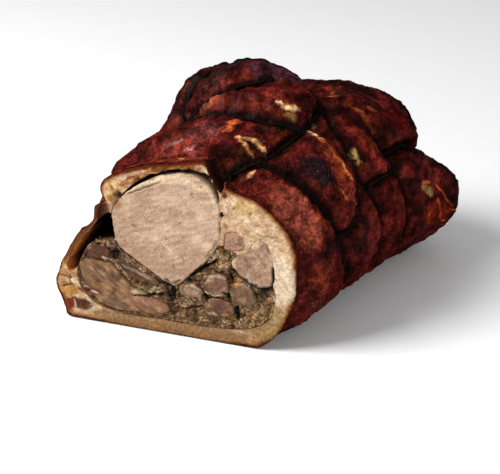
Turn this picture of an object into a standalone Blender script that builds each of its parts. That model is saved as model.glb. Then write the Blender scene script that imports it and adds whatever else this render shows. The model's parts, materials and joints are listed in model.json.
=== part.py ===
"""Porchetta: a boned pork side rolled round its loin, tied with twine, roasted and cut across.

Metres, +Z up.  The roll lies along Y with its cut face towards -Y and rests on the plane z = 0.
"""
import math

import bmesh
import bpy
import numpy as np
from mathutils import Vector
from mathutils.bvhtree import BVHTree

MM = 0.001
CUT_Y = -125.0           # where the roll is cut across, mm along its axis
END_Y = 122.0            # its closed far end
CUT_SLANT = 9.0          # degrees between the cut and a square cut
SLANT_REACH = 60.0       # mm behind the cut over which the slant fades out
BASE_SAG = 9.0           # mm of the round underside pressed flat by resting
GAP = 0.3                # mm between neighbouring solids
AROUND = 66              # facets round the skin
ALONG = 40               # rows along the skin
TWINE_RADIUS = 1.5
KNOT_RADIUS = 3.2
GROOVE_WIDTH = 8.5       # mm from a channel's bottom to its shoulder

# Sections of the bare roll: y, left, height of left, right, height of right, x of top, top (mm),
# and how square the upper left quarter is
STATIONS = (
    (-125.0, -76.0, 30.0, 98.0, 54.0, 24.0, 125.0, 1.45),
    (-104.0, -75.0, 36.0, 105.0, 56.0, 20.0, 136.0, 1.75),
    (-80.0, -74.0, 40.0, 109.0, 56.0, 16.0, 147.0, 1.7),
    (-50.0, -74.0, 46.0, 112.0, 58.0, 16.0, 161.0, 1.65),
    (-22.0, -76.0, 48.0, 114.0, 60.0, 16.0, 168.0, 1.73),
    (8.0, -78.0, 50.0, 116.0, 60.0, 24.0, 151.0, 1.8),
    (44.0, -76.0, 52.0, 119.0, 58.0, 38.0, 136.0, 1.9),
    (76.0, -68.0, 52.0, 120.0, 54.0, 46.0, 130.0, 2.0),
    (98.0, -56.0, 50.0, 123.0, 46.0, 48.0, 108.0, 2.0),
    (122.0, -44.0, 46.0, 123.0, 40.0, 50.0, 88.0, 2.0),
)
ROUNDNESS = (2.1, 2.2, 2.2)           # right-top, left-bottom, right-bottom
END_ROUND = (84.0, 2.3)               # y where the far end starts to close, and its exponent
RIM_REACH = 26.0                      # mm behind the cut over which the rim blends into the roll

# Outer edge of the rind on the cut: across, up (mm), anticlockwise from the right
RIM = (
    (96.0, 60.0), (95.5, 72.0), (92.0, 83.0), (85.0, 93.5), (75.0, 102.5), (65.0, 108.0),
    (55.0, 111.5), (48.0, 114.5), (43.0, 121.0), (37.0, 128.0), (29.0, 130.0), (20.0, 128.0),
    (10.0, 126.0), (0.0, 124.0), (-12.0, 121.0), (-22.0, 118.0), (-30.0, 113.5), (-37.0, 109.5),
    (-41.5, 104.0), (-41.5, 98.0), (-39.0, 93.5), (-42.0, 90.5), (-46.5, 87.5), (-47.5, 82.0),
    (-48.5, 77.0), (-54.0, 71.0), (-60.0, 65.5), (-64.5, 59.0), (-69.0, 50.0), (-73.5, 43.0),
    (-76.0, 36.0), (-79.0, 28.0), (-78.5, 21.0), (-75.5, 14.0), (-73.0, 7.0), (-70.0, 0.0),
    (-50.0, 0.0), (-20.0, 0.0), (15.0, 0.0), (45.0, 0.0), (68.0, 0.0), (82.0, 12.0), (90.5, 28.0),
    (95.0, 43.0),
)

# Swellings of the skin: angle, y, half width in degrees, half length, height (mm)
SWELLINGS = (
    (131.0, -123.0, 10.0, 22.0, 9.0),
    (144.0, -122.0, 6.0, 40.0, -6.0),
    (192.0, -124.0, 12.0, 9.0, 4.0),
    (116.0, -98.0, 20.0, 12.0, 3.0),
    (46.0, 104.0, 16.0, 22.0, -13.0),
    (112.0, -78.0, 7.0, 7.0, -7.0),
    (40.0, -70.0, 18.0, 14.0, 5.0),
    (24.0, -46.0, 16.0, 12.0, 4.0),
    (100.0, -36.0, 30.0, 16.0, 4.0),
    (60.0, 30.0, 20.0, 22.0, 4.0),
    (0.0, 96.0, 24.0, 20.0, 10.0),
    (30.0, -104.0, 30.0, 10.0, 3.0),
    (120.0, -33.0, 12.0, 14.0, 6.0),
    (138.0, -42.0, 8.0, 12.0, -3.0),
    (31.0, 78.0, 11.0, 20.0, -6.0),
    (26.0, 88.0, 8.0, 14.0, -7.0),
    (60.0, 80.0, 14.0, 14.0, 3.0),
)

# Twine loops: bite, then y at every 30 degrees round the roll, from its right over the top (mm)
LOOPS = (
    (10.0, (-5, -31, -20, 14, 16, 14, 10, 4, 0, -2, -2, -4)),
    (9.0, (32, 18, 8, 42, 50, 52, 50, 46, 44, 42, 40, 36)),
)
# Twine runs between the loops: bite, then points of angle and y
RUNS = (
    (7.5, ((72, -117), (67, -106), (62, -98), (46, -91), (30, -83), (0, -60), (-30, -44), (-60, -50),
           (-90, -66), (-120, -78), (-150, -86), (-180, -95), (-205, -107), (-226, -118))),
    (8.0, ((62, -98), (57, -76), (54, -52), (54, -36), (55, -23))),
    (8.0, ((54, -52), (66, -61), (76, -66), (95, -70), (114, -72), (130, -61), (150, -48),
           (168, -34), (190, -8), (203, 6))),
    (5.0, ((114, -73), (111, -66), (104, -59), (98, -54), (90, -49), (83, -42), (79, -35))),
    (4.0, ((114, -72), (119, -62), (120, -50), (116, -41), (110, -32), (107, -18), (106, 0), (106, 14))),
    (12.0, ((30, 18), (32, 34), (34, 50), (34, 68), (34, 88), (36, 106), (40, 116), (44, 121.9))),
    (6.0, ((224, 121.9), (224, 116), (222, 106), (218, 88), (212, 66), (208, 46))),
    (6.0, ((16, -18), (19, 0), (21, 24))),
    (5.0, ((7, -64), (8, -53), (15, -43), (28, -32))),
)


def smooth(values, at):
    """Catmull-Rom values of the station table at positions `at`."""
    table = np.array(values, float)
    x = table[:, 0]
    at = np.clip(np.asarray(at, float), x[0], x[-1])
    i = np.clip(np.searchsorted(x, at) - 1, 0, len(x) - 2)
    slopes = np.gradient(table[:, 1:], x, axis=0)
    h = (x[i + 1] - x[i])[..., None]
    u = ((at - x[i]) / (x[i + 1] - x[i]))[..., None]
    a, b = table[i, 1:], table[i + 1, 1:]
    return ((2 * u**3 - 3 * u**2 + 1) * a + (u**3 - 2 * u**2 + u) * h * slopes[i]
            + (3 * u**2 - 2 * u**3) * b + (u**3 - u**2) * h * slopes[i + 1])


def bare_section(angle, y):
    """Point of the roll's skin before twine and swellings, and the way out of the meat (mm)."""
    left, left_z, right, right_z, top_x, top, square = np.moveaxis(smooth(STATIONS, y), -1, 0)
    c, s = np.cos(angle), np.sin(angle)
    upper, rightward = s >= 0, c >= 0
    power = np.where(upper, np.where(rightward, ROUNDNESS[0], square),
                     np.where(rightward, ROUNDNESS[2], ROUNDNESS[1]))
    side = np.where(rightward, right, left)
    side_z = np.where(rightward, right_z, left_z)
    crown = np.where(upper, top, -BASE_SAG)
    x = top_x + (side - top_x) * np.abs(c) ** (2 / power)
    z = side_z + (crown - side_z) * np.abs(s) ** (2 / power)
    start, exponent = END_ROUND
    u = np.clip((y - start) / (END_Y - start), 0, 1)
    close = (1 - u**exponent) ** (1 / exponent)
    mid_x, mid_z = 0.5 * (left + right), 0.42 * top
    x = mid_x + (x - mid_x) * close
    z = mid_z + (z - mid_z) * close
    return x, z, mid_x, mid_z, close


def closed_curve(points, count):
    """Evenly spread points of a smooth closed curve through the given ones."""
    p = np.array(points, float)
    t = np.linspace(0, len(p), count, endpoint=False)
    i, u = t.astype(int), (t % 1)[:, None]
    a, b, c, d = (p[(i + k) % len(p)] for k in (-1, 0, 1, 2))
    return 0.5 * (2 * b + (c - a) * u + (2 * a - 5 * b + 4 * c - d) * u**2
                  + (3 * b - a - 3 * c + d) * u**3)


def on_rim(x, z, mid_x, mid_z):
    """Where the rim of the cut lies in the direction of a point of the skin."""
    edge = closed_curve(RIM, 880)
    edge[:, 1] = np.maximum(edge[:, 1], 0)
    centre = (float(np.mean(mid_x)), float(np.mean(mid_z)))
    way = np.arctan2(edge[:, 1] - centre[1], edge[:, 0] - centre[0])
    far = np.hypot(edge[:, 0] - centre[0], edge[:, 1] - centre[1])
    order = np.argsort(way)
    at = np.arctan2(z - centre[1], x - centre[0])
    reach = np.interp(at, way[order], far[order], period=2 * math.pi)
    return centre[0] + reach * np.cos(at), centre[1] + reach * np.sin(at)


def loop_y(values, angle):
    """Where a twine loop lies along the roll at an angle."""
    table = [(30.0 * (i - 2), values[(i - 2) % 12]) for i in range(17)]
    return smooth(table, np.degrees(np.asarray(angle)) % 360)[..., 0]


def run_points(points, step=3.0):
    """Evenly spaced angles and y along a run."""
    table = [(float(i), float(a), float(b)) for i, (a, b) in enumerate(points)]
    length = sum(math.hypot((b[0] - a[0]) * 1.6, b[1] - a[1]) for a, b in zip(points, points[1:]))
    route = smooth(table, np.linspace(0, len(points) - 1, int(length / step) + 1))
    return np.radians(route[:, 0]), route[:, 1]


def groove(angle, y):
    """Depth of the channels that the twine presses into the skin (mm)."""
    depth = np.zeros_like(y)
    for bite, values in LOOPS:
        d = y - loop_y(values, angle)
        depth = np.maximum(depth, bite * np.exp(-((d / GROOVE_WIDTH) ** 2)))
    for bite, points in RUNS:
        gap = np.full(y.shape, 1e9)
        for a, b in zip(*run_points(points)):
            turn = (angle - a + math.pi) % (2 * math.pi) - math.pi
            gap = np.minimum(gap, (turn * 95.0) ** 2 + (y - b) ** 2)
        depth = np.maximum(depth, bite * np.exp(-gap / GROOVE_WIDTH**2))
    return depth * (1 - 0.45 * np.clip(-1.6 * np.sin(angle) - 0.4, 0, 1))


def skin_point(angle, y):
    """World position of the skin, metres."""
    angle, y = np.broadcast_arrays(np.asarray(angle, float), np.asarray(y, float))
    x, z, mid_x, mid_z, close = bare_section(angle, y)
    swell = np.zeros_like(y)
    for at, along, half, length, height in SWELLINGS:
        turn = (np.degrees(angle) - at + 180) % 360 - 180
        swell += height * np.exp(-((turn / half) ** 2) - ((y - along) / length) ** 2)
    z = np.where((z < 0) & (swell < 1), 0, z)
    out_x, out_z = x - mid_x, z - mid_z
    size = np.maximum(np.hypot(out_x, out_z), 1e-6)
    fade = np.clip(size / 30, 0, 1)
    step = (swell - groove(angle, y)) * fade
    x = x + out_x / size * step
    z = np.maximum(z + out_z / size * step, 0)
    share = np.clip((y - CUT_Y) / RIM_REACH, 0, 1)
    share = share * share * (3 - 2 * share)
    cut_x, cut_z = on_rim(x, z, 11.0, 52.0)
    x, z = cut_x + (x - cut_x) * share, np.maximum(cut_z + (z - cut_z) * share, 0)
    lean = math.tan(math.radians(CUT_SLANT)) * np.clip(1 - (y - CUT_Y) / SLANT_REACH, 0, 1)
    return np.stack([x, y + x * lean, z], -1) * MM


def material(name, colour, roughness):
    mat = bpy.data.materials.new(name)
    mat.use_nodes = True
    bsdf = mat.node_tree.nodes["Principled BSDF"]
    bsdf.inputs["Base Color"].default_value = (*colour, 1)
    bsdf.inputs["Roughness"].default_value = roughness
    bsdf.inputs["Metallic"].default_value = 0
    mat.diffuse_color = (*colour, 1)
    return mat


def new_object(name, bm, mat=None):
    mesh = bpy.data.meshes.new(name)
    bmesh.ops.recalc_face_normals(bm, faces=bm.faces)
    bm.to_mesh(mesh)
    bm.free()
    mesh.shade_smooth()
    mesh.set_sharp_from_angle(angle=math.radians(40))
    obj = bpy.data.objects.new(name, mesh)
    bpy.context.scene.collection.objects.link(obj)
    if mat:
        mesh.materials.append(mat)
    return obj


def bridge(bm, rings, closed=False):
    """Close a stack of rings of points into a body."""
    rings = [[bm.verts.new(p) for p in ring] for ring in rings]
    pairs = list(zip(rings, rings[1:]))
    if closed:
        pairs.append((rings[-1], rings[0]))
    for a, b in pairs:
        for i in range(len(a)):
            j = (i + 1) % len(a)
            bm.faces.new((a[i], a[j], b[j], b[i]))
    if not closed:
        bm.faces.new(reversed(rings[0]))
        bm.faces.new(rings[-1])


def boolean(target, tools, operation):
    """Join or cut a body by several others at once, and remove them."""
    group = bpy.data.collections.new("tools")
    for tool in tools:
        bpy.context.scene.collection.objects.unlink(tool)
        group.objects.link(tool)
    bpy.context.scene.collection.children.link(group)
    modifier = target.modifiers.new("boolean", "BOOLEAN")
    modifier.operation = operation
    modifier.operand_type = "COLLECTION"
    modifier.collection = group
    modifier.solver = "EXACT"
    bpy.context.view_layer.update()
    graph = bpy.context.evaluated_depsgraph_get()
    mesh = bpy.data.meshes.new_from_object(target.evaluated_get(graph))
    target.modifiers.clear()
    target.data = mesh
    for tool in list(group.objects):
        bpy.data.objects.remove(tool)
    bpy.data.collections.remove(group)


def drop_scraps(obj):
    """Keep only the largest body that a cut has left."""
    bm = bmesh.new()
    bm.from_mesh(obj.data)
    bodies, seen = [], set()
    for start in bm.verts:
        if start in seen:
            continue
        body, edge = [start], [start]
        seen.add(start)
        while edge:
            near = [e.other_vert(v) for v in edge for e in v.link_edges]
            edge = list({v for v in near if v not in seen})
            seen.update(edge)
            body.extend(edge)
        bodies.append(body)
    bodies.sort(key=len)
    scraps = [v for body in bodies[:-1] for v in body]
    bmesh.ops.delete(bm, geom=scraps, context="VERTS")
    bm.to_mesh(obj.data)
    bm.free()


def outline(shape, grow=0.0, count=28):
    """Closed outline of a muscle in the plane of the cut, grown outwards: (across, up) in mm."""
    line = closed_curve(shape, count)
    way = np.roll(line, -1, 0) - np.roll(line, 1, 0)
    way /= np.linalg.norm(way, axis=1, keepdims=True)
    x, z = line[:, 0], line[:, 1]
    turn = np.sign(np.sum(x * np.roll(z, -1) - z * np.roll(x, -1)))
    return x + way[:, 1] * turn * grow, z - way[:, 0] * turn * grow


def muscle(name, shape, length, mat=None, grow=0.0, proud=0.0, count=28, narrow=0.72):
    """A muscle or its cutter: the outline carried back from the cut, narrowing to its end."""
    x, z = outline(shape, grow, count)
    mid_x, mid_z = np.mean(np.array(shape), axis=0)
    bm = bmesh.new()
    rings = []
    backs = [length * share for share in (0.0, 0.25, 0.5, 0.8, 1.0)]
    if grow > 0:
        backs = [-30.0] + backs[:-1] + [length + grow]
    else:
        backs[0] = -proud
    for back in backs:
        scale = 1 - (1 - narrow) * min(max(back, 0.0) / length, 1.0) ** 2
        px, pz = mid_x + (x - mid_x) * scale, mid_z + (z - mid_z) * scale
        lean = math.tan(math.radians(CUT_SLANT)) * max(0.0, 1 - max(back, 0.0) / SLANT_REACH)
        rings.append([Vector((a * MM, (CUT_Y + back + a * lean) * MM, b * MM))
                      for a, b in zip(px, pz)])
    bridge(bm, rings)
    return new_object(name, bm, mat)


def tube(name, points, radius, closed=False, sides=5):
    """A round cord through the points."""
    bm = bmesh.new()
    rings = []
    count = len(points)
    for i, p in enumerate(points):
        before = points[(i - 1) % count] if closed or i else p
        after = points[(i + 1) % count] if closed or i < count - 1 else p
        along = (after - before).normalized()
        side = along.cross(Vector((0, 0, 1)) if abs(along.z) < 0.9 else Vector((0, 1, 0)))
        if rings:
            side = last - along * last.dot(along)
        side.normalize()
        last = side.copy()
        up = side.cross(along)
        turns = [2 * math.pi * k / sides for k in range(sides)]
        rings.append([p + (side * math.cos(t) + up * math.sin(t)) * radius for t in turns])
    if closed:
        start, end = rings[0], rings[-1]
        twist = min(range(sides), key=lambda k: (end[k] - start[0]).length)
        rings[-1] = [end[(k + twist) % sides] for k in range(sides)]
    bridge(bm, rings, closed)
    return new_object(name, bm)


for old in list(bpy.data.objects):
    bpy.data.objects.remove(old)

RIND = material("roasted_rind", (0.11, 0.018, 0.012), 0.35)
LOIN = material("roast_loin", (0.62, 0.42, 0.28), 0.6)
LEAN = material("roast_lean", (0.48, 0.29, 0.21), 0.6)
HERBS = material("herb_stuffing", (0.12, 0.10, 0.05), 0.8)
STRING = material("charred_twine", (0.02, 0.015, 0.015), 0.8)

# Outlines on the cut: across, up (mm)
LOIN_SHAPE = (
    (-33.5, 88), (-34, 75), (-31, 62), (-20, 53), (-6, 44.5), (5, 38), (13, 39), (23, 49), (33, 60),
    (40, 70), (43, 84), (42.5, 99), (36, 112), (23, 119), (7, 118.5), (-9, 110.5), (-24, 100),
)
FLANK_SHAPE = (
    (-60, 41), (-56, 46.5), (-46, 47), (-37, 46), (-31, 41), (-23, 33), (-12, 27), (0, 24.5),
    (5, 20), (2, 15), (-12, 13), (-30, 12), (-46, 16), (-56, 27),
)
STRIP_SHAPE = (
    (-32, 47.5), (-25, 48.5), (-14, 43.5), (-4, 38.5), (-2, 36), (-7, 34.5), (-15, 35.5),
    (-23, 38.5), (-29, 42.5),
)
FLANK_END_SHAPE = ((-54, 50), (-50, 56), (-43, 59.5), (-37, 56), (-35.5, 51), (-41, 48.5), (-48, 49))
BELLY_SHAPE = (
    (51.5, 61), (55, 67), (61, 70), (65.5, 76), (70, 81), (75, 78), (79, 69), (79.5, 58),
    (78.5, 48.5), (72, 46), (66, 45.5), (60, 49.5), (55, 55),
)
UPPER_SHAPE = (
    (45, 71), (45.5, 76), (48, 82), (53, 83.5), (58, 80.5), (60, 76), (58, 71.5), (52, 69.5),
    (47, 69.5),
)
CHUNKS = (
    ((13, 34), (14.5, 38), (20, 40.5), (26, 39.5), (30, 36.5), (31, 32.5), (26, 30.5), (18, 30.5)),
    ((31.5, 42), (34, 47.5), (40, 50.5), (46, 49), (48.5, 44), (48, 38.5), (43, 34.8), (37, 34),
     (32.5, 37)),
    ((50, 39), (51.5, 45.5), (56, 48), (62, 45), (66.5, 41), (68, 35), (64, 31.5), (57, 31),
     (51.5, 33.5)),
    ((30.5, 26), (34, 31), (40, 32.3), (46, 31.5), (50.5, 29), (52, 24), (47, 20.5), (40, 19.5),
     (33, 21)),
)
TROUGH_SHAPE = (
    (-62, 38), (-59, 49), (-52, 59), (-42, 62), (-30, 64), (-10, 60), (10, 60), (30, 64), (43, 72),
    (50, 70.5), (56, 66), (70, 52), (80, 47), (81.5, 36), (77, 23), (62, 13), (32, 9), (0, 9),
    (-30, 9), (-50, 14), (-60, 25),
)
VOID_SHAPE = (
    (-36, 84), (-43, 79), (-50, 70), (-57, 62.5), (-61, 57), (-66, 48.5), (-70, 41), (-66, 36.5),
    (-60.5, 43), (-58, 51), (-52, 58.5), (-44, 62), (-36, 62), (-33, 68), (-33.5, 78),
)
ROOF_GAP_SHAPE = (
    (-30, 92), (-24, 101.5), (-15, 109.5), (-9, 113.5), (2, 118.5), (14, 121.8), (26, 121.5),
    (37, 116.5), (43, 106), (38, 100), (20, 100), (0, 95), (-18, 90),
)
TEAR_SHAPE = ((33, 132), (39, 132), (44, 124), (46, 115), (44, 109.5), (39.5, 114), (35.5, 121))

# skin: rows closer together at the two ends
steps = np.linspace(0, 1, ALONG)
rows = CUT_Y + (END_Y - CUT_Y) * (steps - 0.06 * np.sin(2 * math.pi * steps) * (steps > 0.5))
share = np.arange(AROUND) / AROUND       # more columns over the top than underneath
turns = np.radians(np.where(share < 0.8, -50 + share / 0.8 * 265, 215 + (share - 0.8) / 0.2 * 95))
bm = bmesh.new()
rings = [[Vector(p) for p in skin_point(turns, np.full(AROUND, y))] for y in rows[:-1]]
bridge(bm, rings)
cap = [f for f in bm.faces if len(f.verts) > 4 and f.calc_center_median().y > 0]
bmesh.ops.poke(bm, faces=cap)
rind = new_object("rind_and_fat", bm, RIND)
skin_tree = BVHTree.FromObject(rind, bpy.context.evaluated_depsgraph_get())


def lay(angle, y, closed=False):
    """Centre line of twine lying on the skin, pushed out until every stretch of it is clear."""
    reach = (TWINE_RADIUS + 0.6) * MM
    points = []
    for p in skin_point(angle, y):
        spot, normal, _, _ = skin_tree.find_nearest(Vector(p))
        points.append(spot + normal * reach)
    count = len(points)
    for _ in range(25):
        moved = 0.0
        for i in range(count if closed else count - 1):
            j = (i + 1) % count
            for share in (0.0, 0.2, 0.4, 0.6, 0.8, 1.0):
                p = points[i].lerp(points[j], share)
                spot, normal, _, _ = skin_tree.find_nearest(p)
                short = reach - (p - spot).dot(normal)
                if short > 0:
                    points[i] += normal * short * (1.2 - share)
                    points[j] += normal * short * (0.2 + share)
                    moved = max(moved, short)
        if moved < 0.00005:
            break
    return points


def knot(centre):
    """A pulled knot where two cords meet."""
    bm = bmesh.new()
    bmesh.ops.create_icosphere(bm, subdivisions=1, radius=KNOT_RADIUS * MM)
    for _ in range(8):
        spot, normal, _, _ = skin_tree.find_nearest(centre)
        centre = centre + normal * max((KNOT_RADIUS + 0.5) * MM - (centre - spot).dot(normal), 0)
    bmesh.ops.translate(bm, vec=centre, verts=bm.verts)
    return new_object("knot", bm)


cords = []
for _, values in LOOPS:
    around = np.linspace(0, 2 * math.pi, 55, endpoint=False)
    cords.append(tube("loop", lay(around, loop_y(values, around), True), TWINE_RADIUS * MM, closed=True))
for _, points in RUNS:
    a, b = run_points(points, 10.6)
    line = lay(a, b)
    cords += [knot(line[0]), knot(line[-1])]
    cords.append(tube("run", line, TWINE_RADIUS * MM))
twine = cords[0]
twine.name = "twine"
boolean(twine, cords[1:], "UNION")
twine.data.materials.clear()
twine.data.materials.append(STRING)

# name, outline, length back from the cut, material, how far its face stands out, facets round it
pieces = (
    ("loin", LOIN_SHAPE, 190.0, LOIN, 0.0, 34),
    ("flank_muscle", FLANK_SHAPE, 165.0, LEAN, 0.8, 24),
    ("flank_strip", STRIP_SHAPE, 120.0, LEAN, -0.6, 18),
    ("flank_end", FLANK_END_SHAPE, 100.0, LEAN, 0.5, 16),
    ("belly_lean", BELLY_SHAPE, 150.0, LEAN, 0.5, 20),
    ("upper_lean", UPPER_SHAPE, 120.0, LEAN, -0.4, 18),
) + tuple((f"filling_meat_{i + 1}", shape, 110.0, LEAN, 0.4, 16) for i, shape in enumerate(CHUNKS))
for name, shape, length, mat, proud, count in pieces:
    muscle(name, shape, length, mat, 0.0, proud, count)


def cutters_for(names):
    """The muscles' own shapes, a gap larger, to cut their beds with."""
    return [muscle("bed_" + n, s, length, None, GAP, proud, count)
            for n, s, length, _, proud, count in pieces if n in names]


herbs = muscle("herb_stuffing", TROUGH_SHAPE, 165.0, HERBS, -GAP, -1.0, 36)
boolean(herbs, cutters_for([p[0] for p in pieces]), "DIFFERENCE")
drop_scraps(herbs)
hollows = [muscle("trough", TROUGH_SHAPE, 165.0, None, 0.001, 0.0, 36),
           muscle("void", VOID_SHAPE, 45.0, None, 0.001, 0.0, 14),
           muscle("roof", ROOF_GAP_SHAPE, 22.0, None, 0.001, 0.0, 34),
           muscle("tear", TEAR_SHAPE, 9.0, None, 0.001, 0.0, 10)]
in_fat = ("loin", "flank_muscle", "flank_end", "belly_lean", "upper_lean")
boolean(rind, hollows + cutters_for(in_fat), "DIFFERENCE")

everything = [o for o in bpy.data.objects if o.type == "MESH"]
corners = np.array([o.matrix_world @ Vector(v.co) for o in everything for v in o.data.vertices])
low, high = corners.min(axis=0), corners.max(axis=0)
shift = Vector((-(low[0] + high[0]) / 2, -(low[1] + high[1]) / 2, -low[2]))
for obj in everything:
    for v in obj.data.vertices:
        v.co += shift
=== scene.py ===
"""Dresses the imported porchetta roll: roasted rind, cut muscles, herb filling and charred twine."""

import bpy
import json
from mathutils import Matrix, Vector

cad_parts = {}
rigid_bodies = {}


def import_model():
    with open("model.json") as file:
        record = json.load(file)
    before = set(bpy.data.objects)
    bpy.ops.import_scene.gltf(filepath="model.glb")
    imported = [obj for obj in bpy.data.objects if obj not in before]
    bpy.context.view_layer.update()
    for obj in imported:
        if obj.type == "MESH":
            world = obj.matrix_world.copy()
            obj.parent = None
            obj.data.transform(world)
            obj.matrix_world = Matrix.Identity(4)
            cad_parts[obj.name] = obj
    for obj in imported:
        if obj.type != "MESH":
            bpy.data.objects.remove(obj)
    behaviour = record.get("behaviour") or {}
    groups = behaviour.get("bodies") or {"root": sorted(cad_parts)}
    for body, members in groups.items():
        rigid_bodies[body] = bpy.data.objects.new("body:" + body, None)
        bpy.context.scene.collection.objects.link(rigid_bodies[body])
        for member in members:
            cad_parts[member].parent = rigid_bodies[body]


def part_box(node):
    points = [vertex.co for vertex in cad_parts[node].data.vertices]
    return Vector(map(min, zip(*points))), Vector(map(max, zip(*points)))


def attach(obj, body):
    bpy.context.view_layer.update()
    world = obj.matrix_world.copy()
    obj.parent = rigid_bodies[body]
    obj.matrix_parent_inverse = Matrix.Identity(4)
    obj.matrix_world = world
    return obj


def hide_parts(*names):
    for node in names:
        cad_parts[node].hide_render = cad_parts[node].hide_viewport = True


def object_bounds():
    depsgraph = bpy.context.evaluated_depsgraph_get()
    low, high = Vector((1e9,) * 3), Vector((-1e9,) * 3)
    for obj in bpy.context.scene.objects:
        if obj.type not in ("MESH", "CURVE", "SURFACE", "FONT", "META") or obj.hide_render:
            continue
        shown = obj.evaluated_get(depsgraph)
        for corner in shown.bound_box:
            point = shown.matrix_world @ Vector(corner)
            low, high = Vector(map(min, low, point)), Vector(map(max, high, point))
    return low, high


bl_info = {
    "name": "Porchetta roll",
    "version": (1, 0, 0),
    "blender": (4, 5, 0),
    "location": "3D View > Sidebar > Porchetta",
    "description": "Roasted rind, cut muscles, herb filling and twine for a rolled pork roast",
    "category": "Object",
}

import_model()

import json
import math

import bmesh
import bpy
import numpy as np
from bpy.props import FloatProperty, FloatVectorProperty, IntProperty, PointerProperty
from mathutils import Vector, noise
from mathutils.bvhtree import BVHTree

CAD_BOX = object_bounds()
MM = 0.001

# ---- The roll's own sizes, in millimetres, before the whole is moved to the frame's place ----
CUT_Y = -125.0           # where the roll is cut across
END_Y = 122.0            # its closed far end
CUT_SLANT = 9.0          # degrees between the cut and a square cut
SLANT_REACH = 60.0       # mm behind the cut over which the slant fades out
LEAN = math.tan(math.radians(CUT_SLANT))
BASE_SAG = 9.0           # mm of the round underside pressed flat by resting
GROOVE_WIDTH = 8.5       # mm from a channel's bottom to its shoulder
GIRTH = 95.0             # mm, the roll's usual radius
DEGREE = 1.6             # mm round the skin for one degree
MID_HEIGHT = 0.42        # height of the meat's middle, as a share of its top
LOOP_SLANT = 0.93        # how much nearer a slanting loop is than its distance along the roll
LOOP_TURN = 30.0         # degrees between the points of a loop
RUN_STEP = 3.0           # mm between the points of a run
SEAM = 290               # degrees, under the roll, where the angles of the marks start again

# y, left, height of left, right, height of right, x of top, top, squareness of upper left
STATIONS = (
    (-125, -76, 30, 98, 54, 24, 125, 1.45),
    (-104, -75, 36, 105, 56, 20, 136, 1.75),
    (-80, -74, 40, 109, 56, 16, 147, 1.7),
    (-50, -74, 46, 112, 58, 16, 161, 1.65),
    (-22, -76, 48, 114, 60, 16, 168, 1.73),
    (8, -78, 50, 116, 60, 24, 151, 1.8),
    (44, -76, 52, 119, 58, 38, 136, 1.9),
    (76, -68, 52, 120, 54, 46, 130, 2),
    (98, -56, 50, 123, 46, 48, 108, 2),
    (122, -44, 46, 123, 40, 50, 88, 2),
)
ROUNDNESS = (2.1, 2.2, 2.2)           # right-top, left-bottom, right-bottom
END_ROUND = (84.0, 2.3)               # y where the far end starts to close, and its exponent
RIM_REACH = 26.0                      # mm behind the cut over which the rim blends into the roll
RIM_CENTRE = (11.0, 52.0)             # place inside the rim from which its points are found
RIM_POINTS = 880

# Outer edge of the rind on the cut: across, up (mm), anticlockwise from the right
RIM = (
    (96, 60), (95.5, 72), (92, 83), (85, 93.5), (75, 102.5), (65, 108),
    (55, 111.5), (48, 114.5), (43, 121), (37, 128), (29, 130), (20, 128),
    (10, 126), (0, 124), (-12, 121), (-22, 118), (-30, 113.5), (-37, 109.5),
    (-41.5, 104), (-41.5, 98), (-39, 93.5), (-42, 90.5), (-46.5, 87.5), (-47.5, 82),
    (-48.5, 77), (-54, 71), (-60, 65.5), (-64.5, 59), (-69, 50), (-73.5, 43),
    (-76, 36), (-79, 28), (-78.5, 21), (-75.5, 14), (-73, 7), (-70, 0),
    (-50, 0), (-20, 0), (15, 0), (45, 0), (68, 0), (82, 12), (90.5, 28),
    (95, 43),
)

# Swellings of the skin: angle, y, half width in degrees, half length, height
SWELLINGS = (
    (131, -123, 10, 22, 9),
    (144, -122, 6, 40, -6),
    (192, -124, 12, 9, 4),
    (116, -98, 20, 12, 3),
    (46, 104, 16, 22, -13),
    (112, -78, 7, 7, -7),
    (40, -70, 18, 14, 5),
    (24, -46, 16, 12, 4),
    (100, -36, 30, 16, 4),
    (60, 30, 20, 22, 4),
    (0, 96, 24, 20, 10),
    (30, -104, 30, 10, 3),
    (120, -33, 12, 14, 6),
    (138, -42, 8, 12, -3),
    (31, 78, 11, 20, -6),
    (26, 88, 8, 14, -7),
    (60, 80, 14, 14, 3),
)

# Twine loops: bite, then y at every 30 degrees round the roll, from its right over the top
LOOPS = (
    (10, (-5, -31, -20, 14, 16, 14, 10, 4, 0, -2, -2, -4)),
    (9, (32, 18, 8, 42, 50, 52, 50, 46, 44, 42, 40, 36)),
)
# Twine runs between the loops: bite, then points of angle and y
RUNS = (
    (7.5, ((72, -117), (67, -106), (62, -98), (46, -91), (30, -83), (0, -60), (-30, -44),
           (-60, -50), (-90, -66), (-120, -78), (-150, -86), (-180, -95), (-205, -107),
           (-226, -118))),
    (8, ((62, -98), (57, -76), (54, -52), (54, -36), (55, -23))),
    (8, ((54, -52), (66, -61), (76, -66), (95, -70), (114, -72), (130, -61), (150, -48),
           (168, -34), (190, -8), (203, 6))),
    (5, ((114, -73), (111, -66), (104, -59), (98, -54), (90, -49), (83, -42), (79, -35))),
    (4, ((114, -72), (119, -62), (120, -50), (116, -41), (110, -32), (107, -18), (106, 0),
         (106, 14))),
    (12, ((30, 18), (32, 34), (34, 50), (34, 68), (34, 88), (36, 106), (40, 116), (44, 121.9))),
    (6, ((224, 121.9), (224, 116), (222, 106), (218, 88), (212, 66), (208, 46))),
    (6, ((16, -18), (19, 0), (21, 24))),
    (5, ((7, -64), (8, -53), (15, -43), (28, -32))),
)

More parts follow.
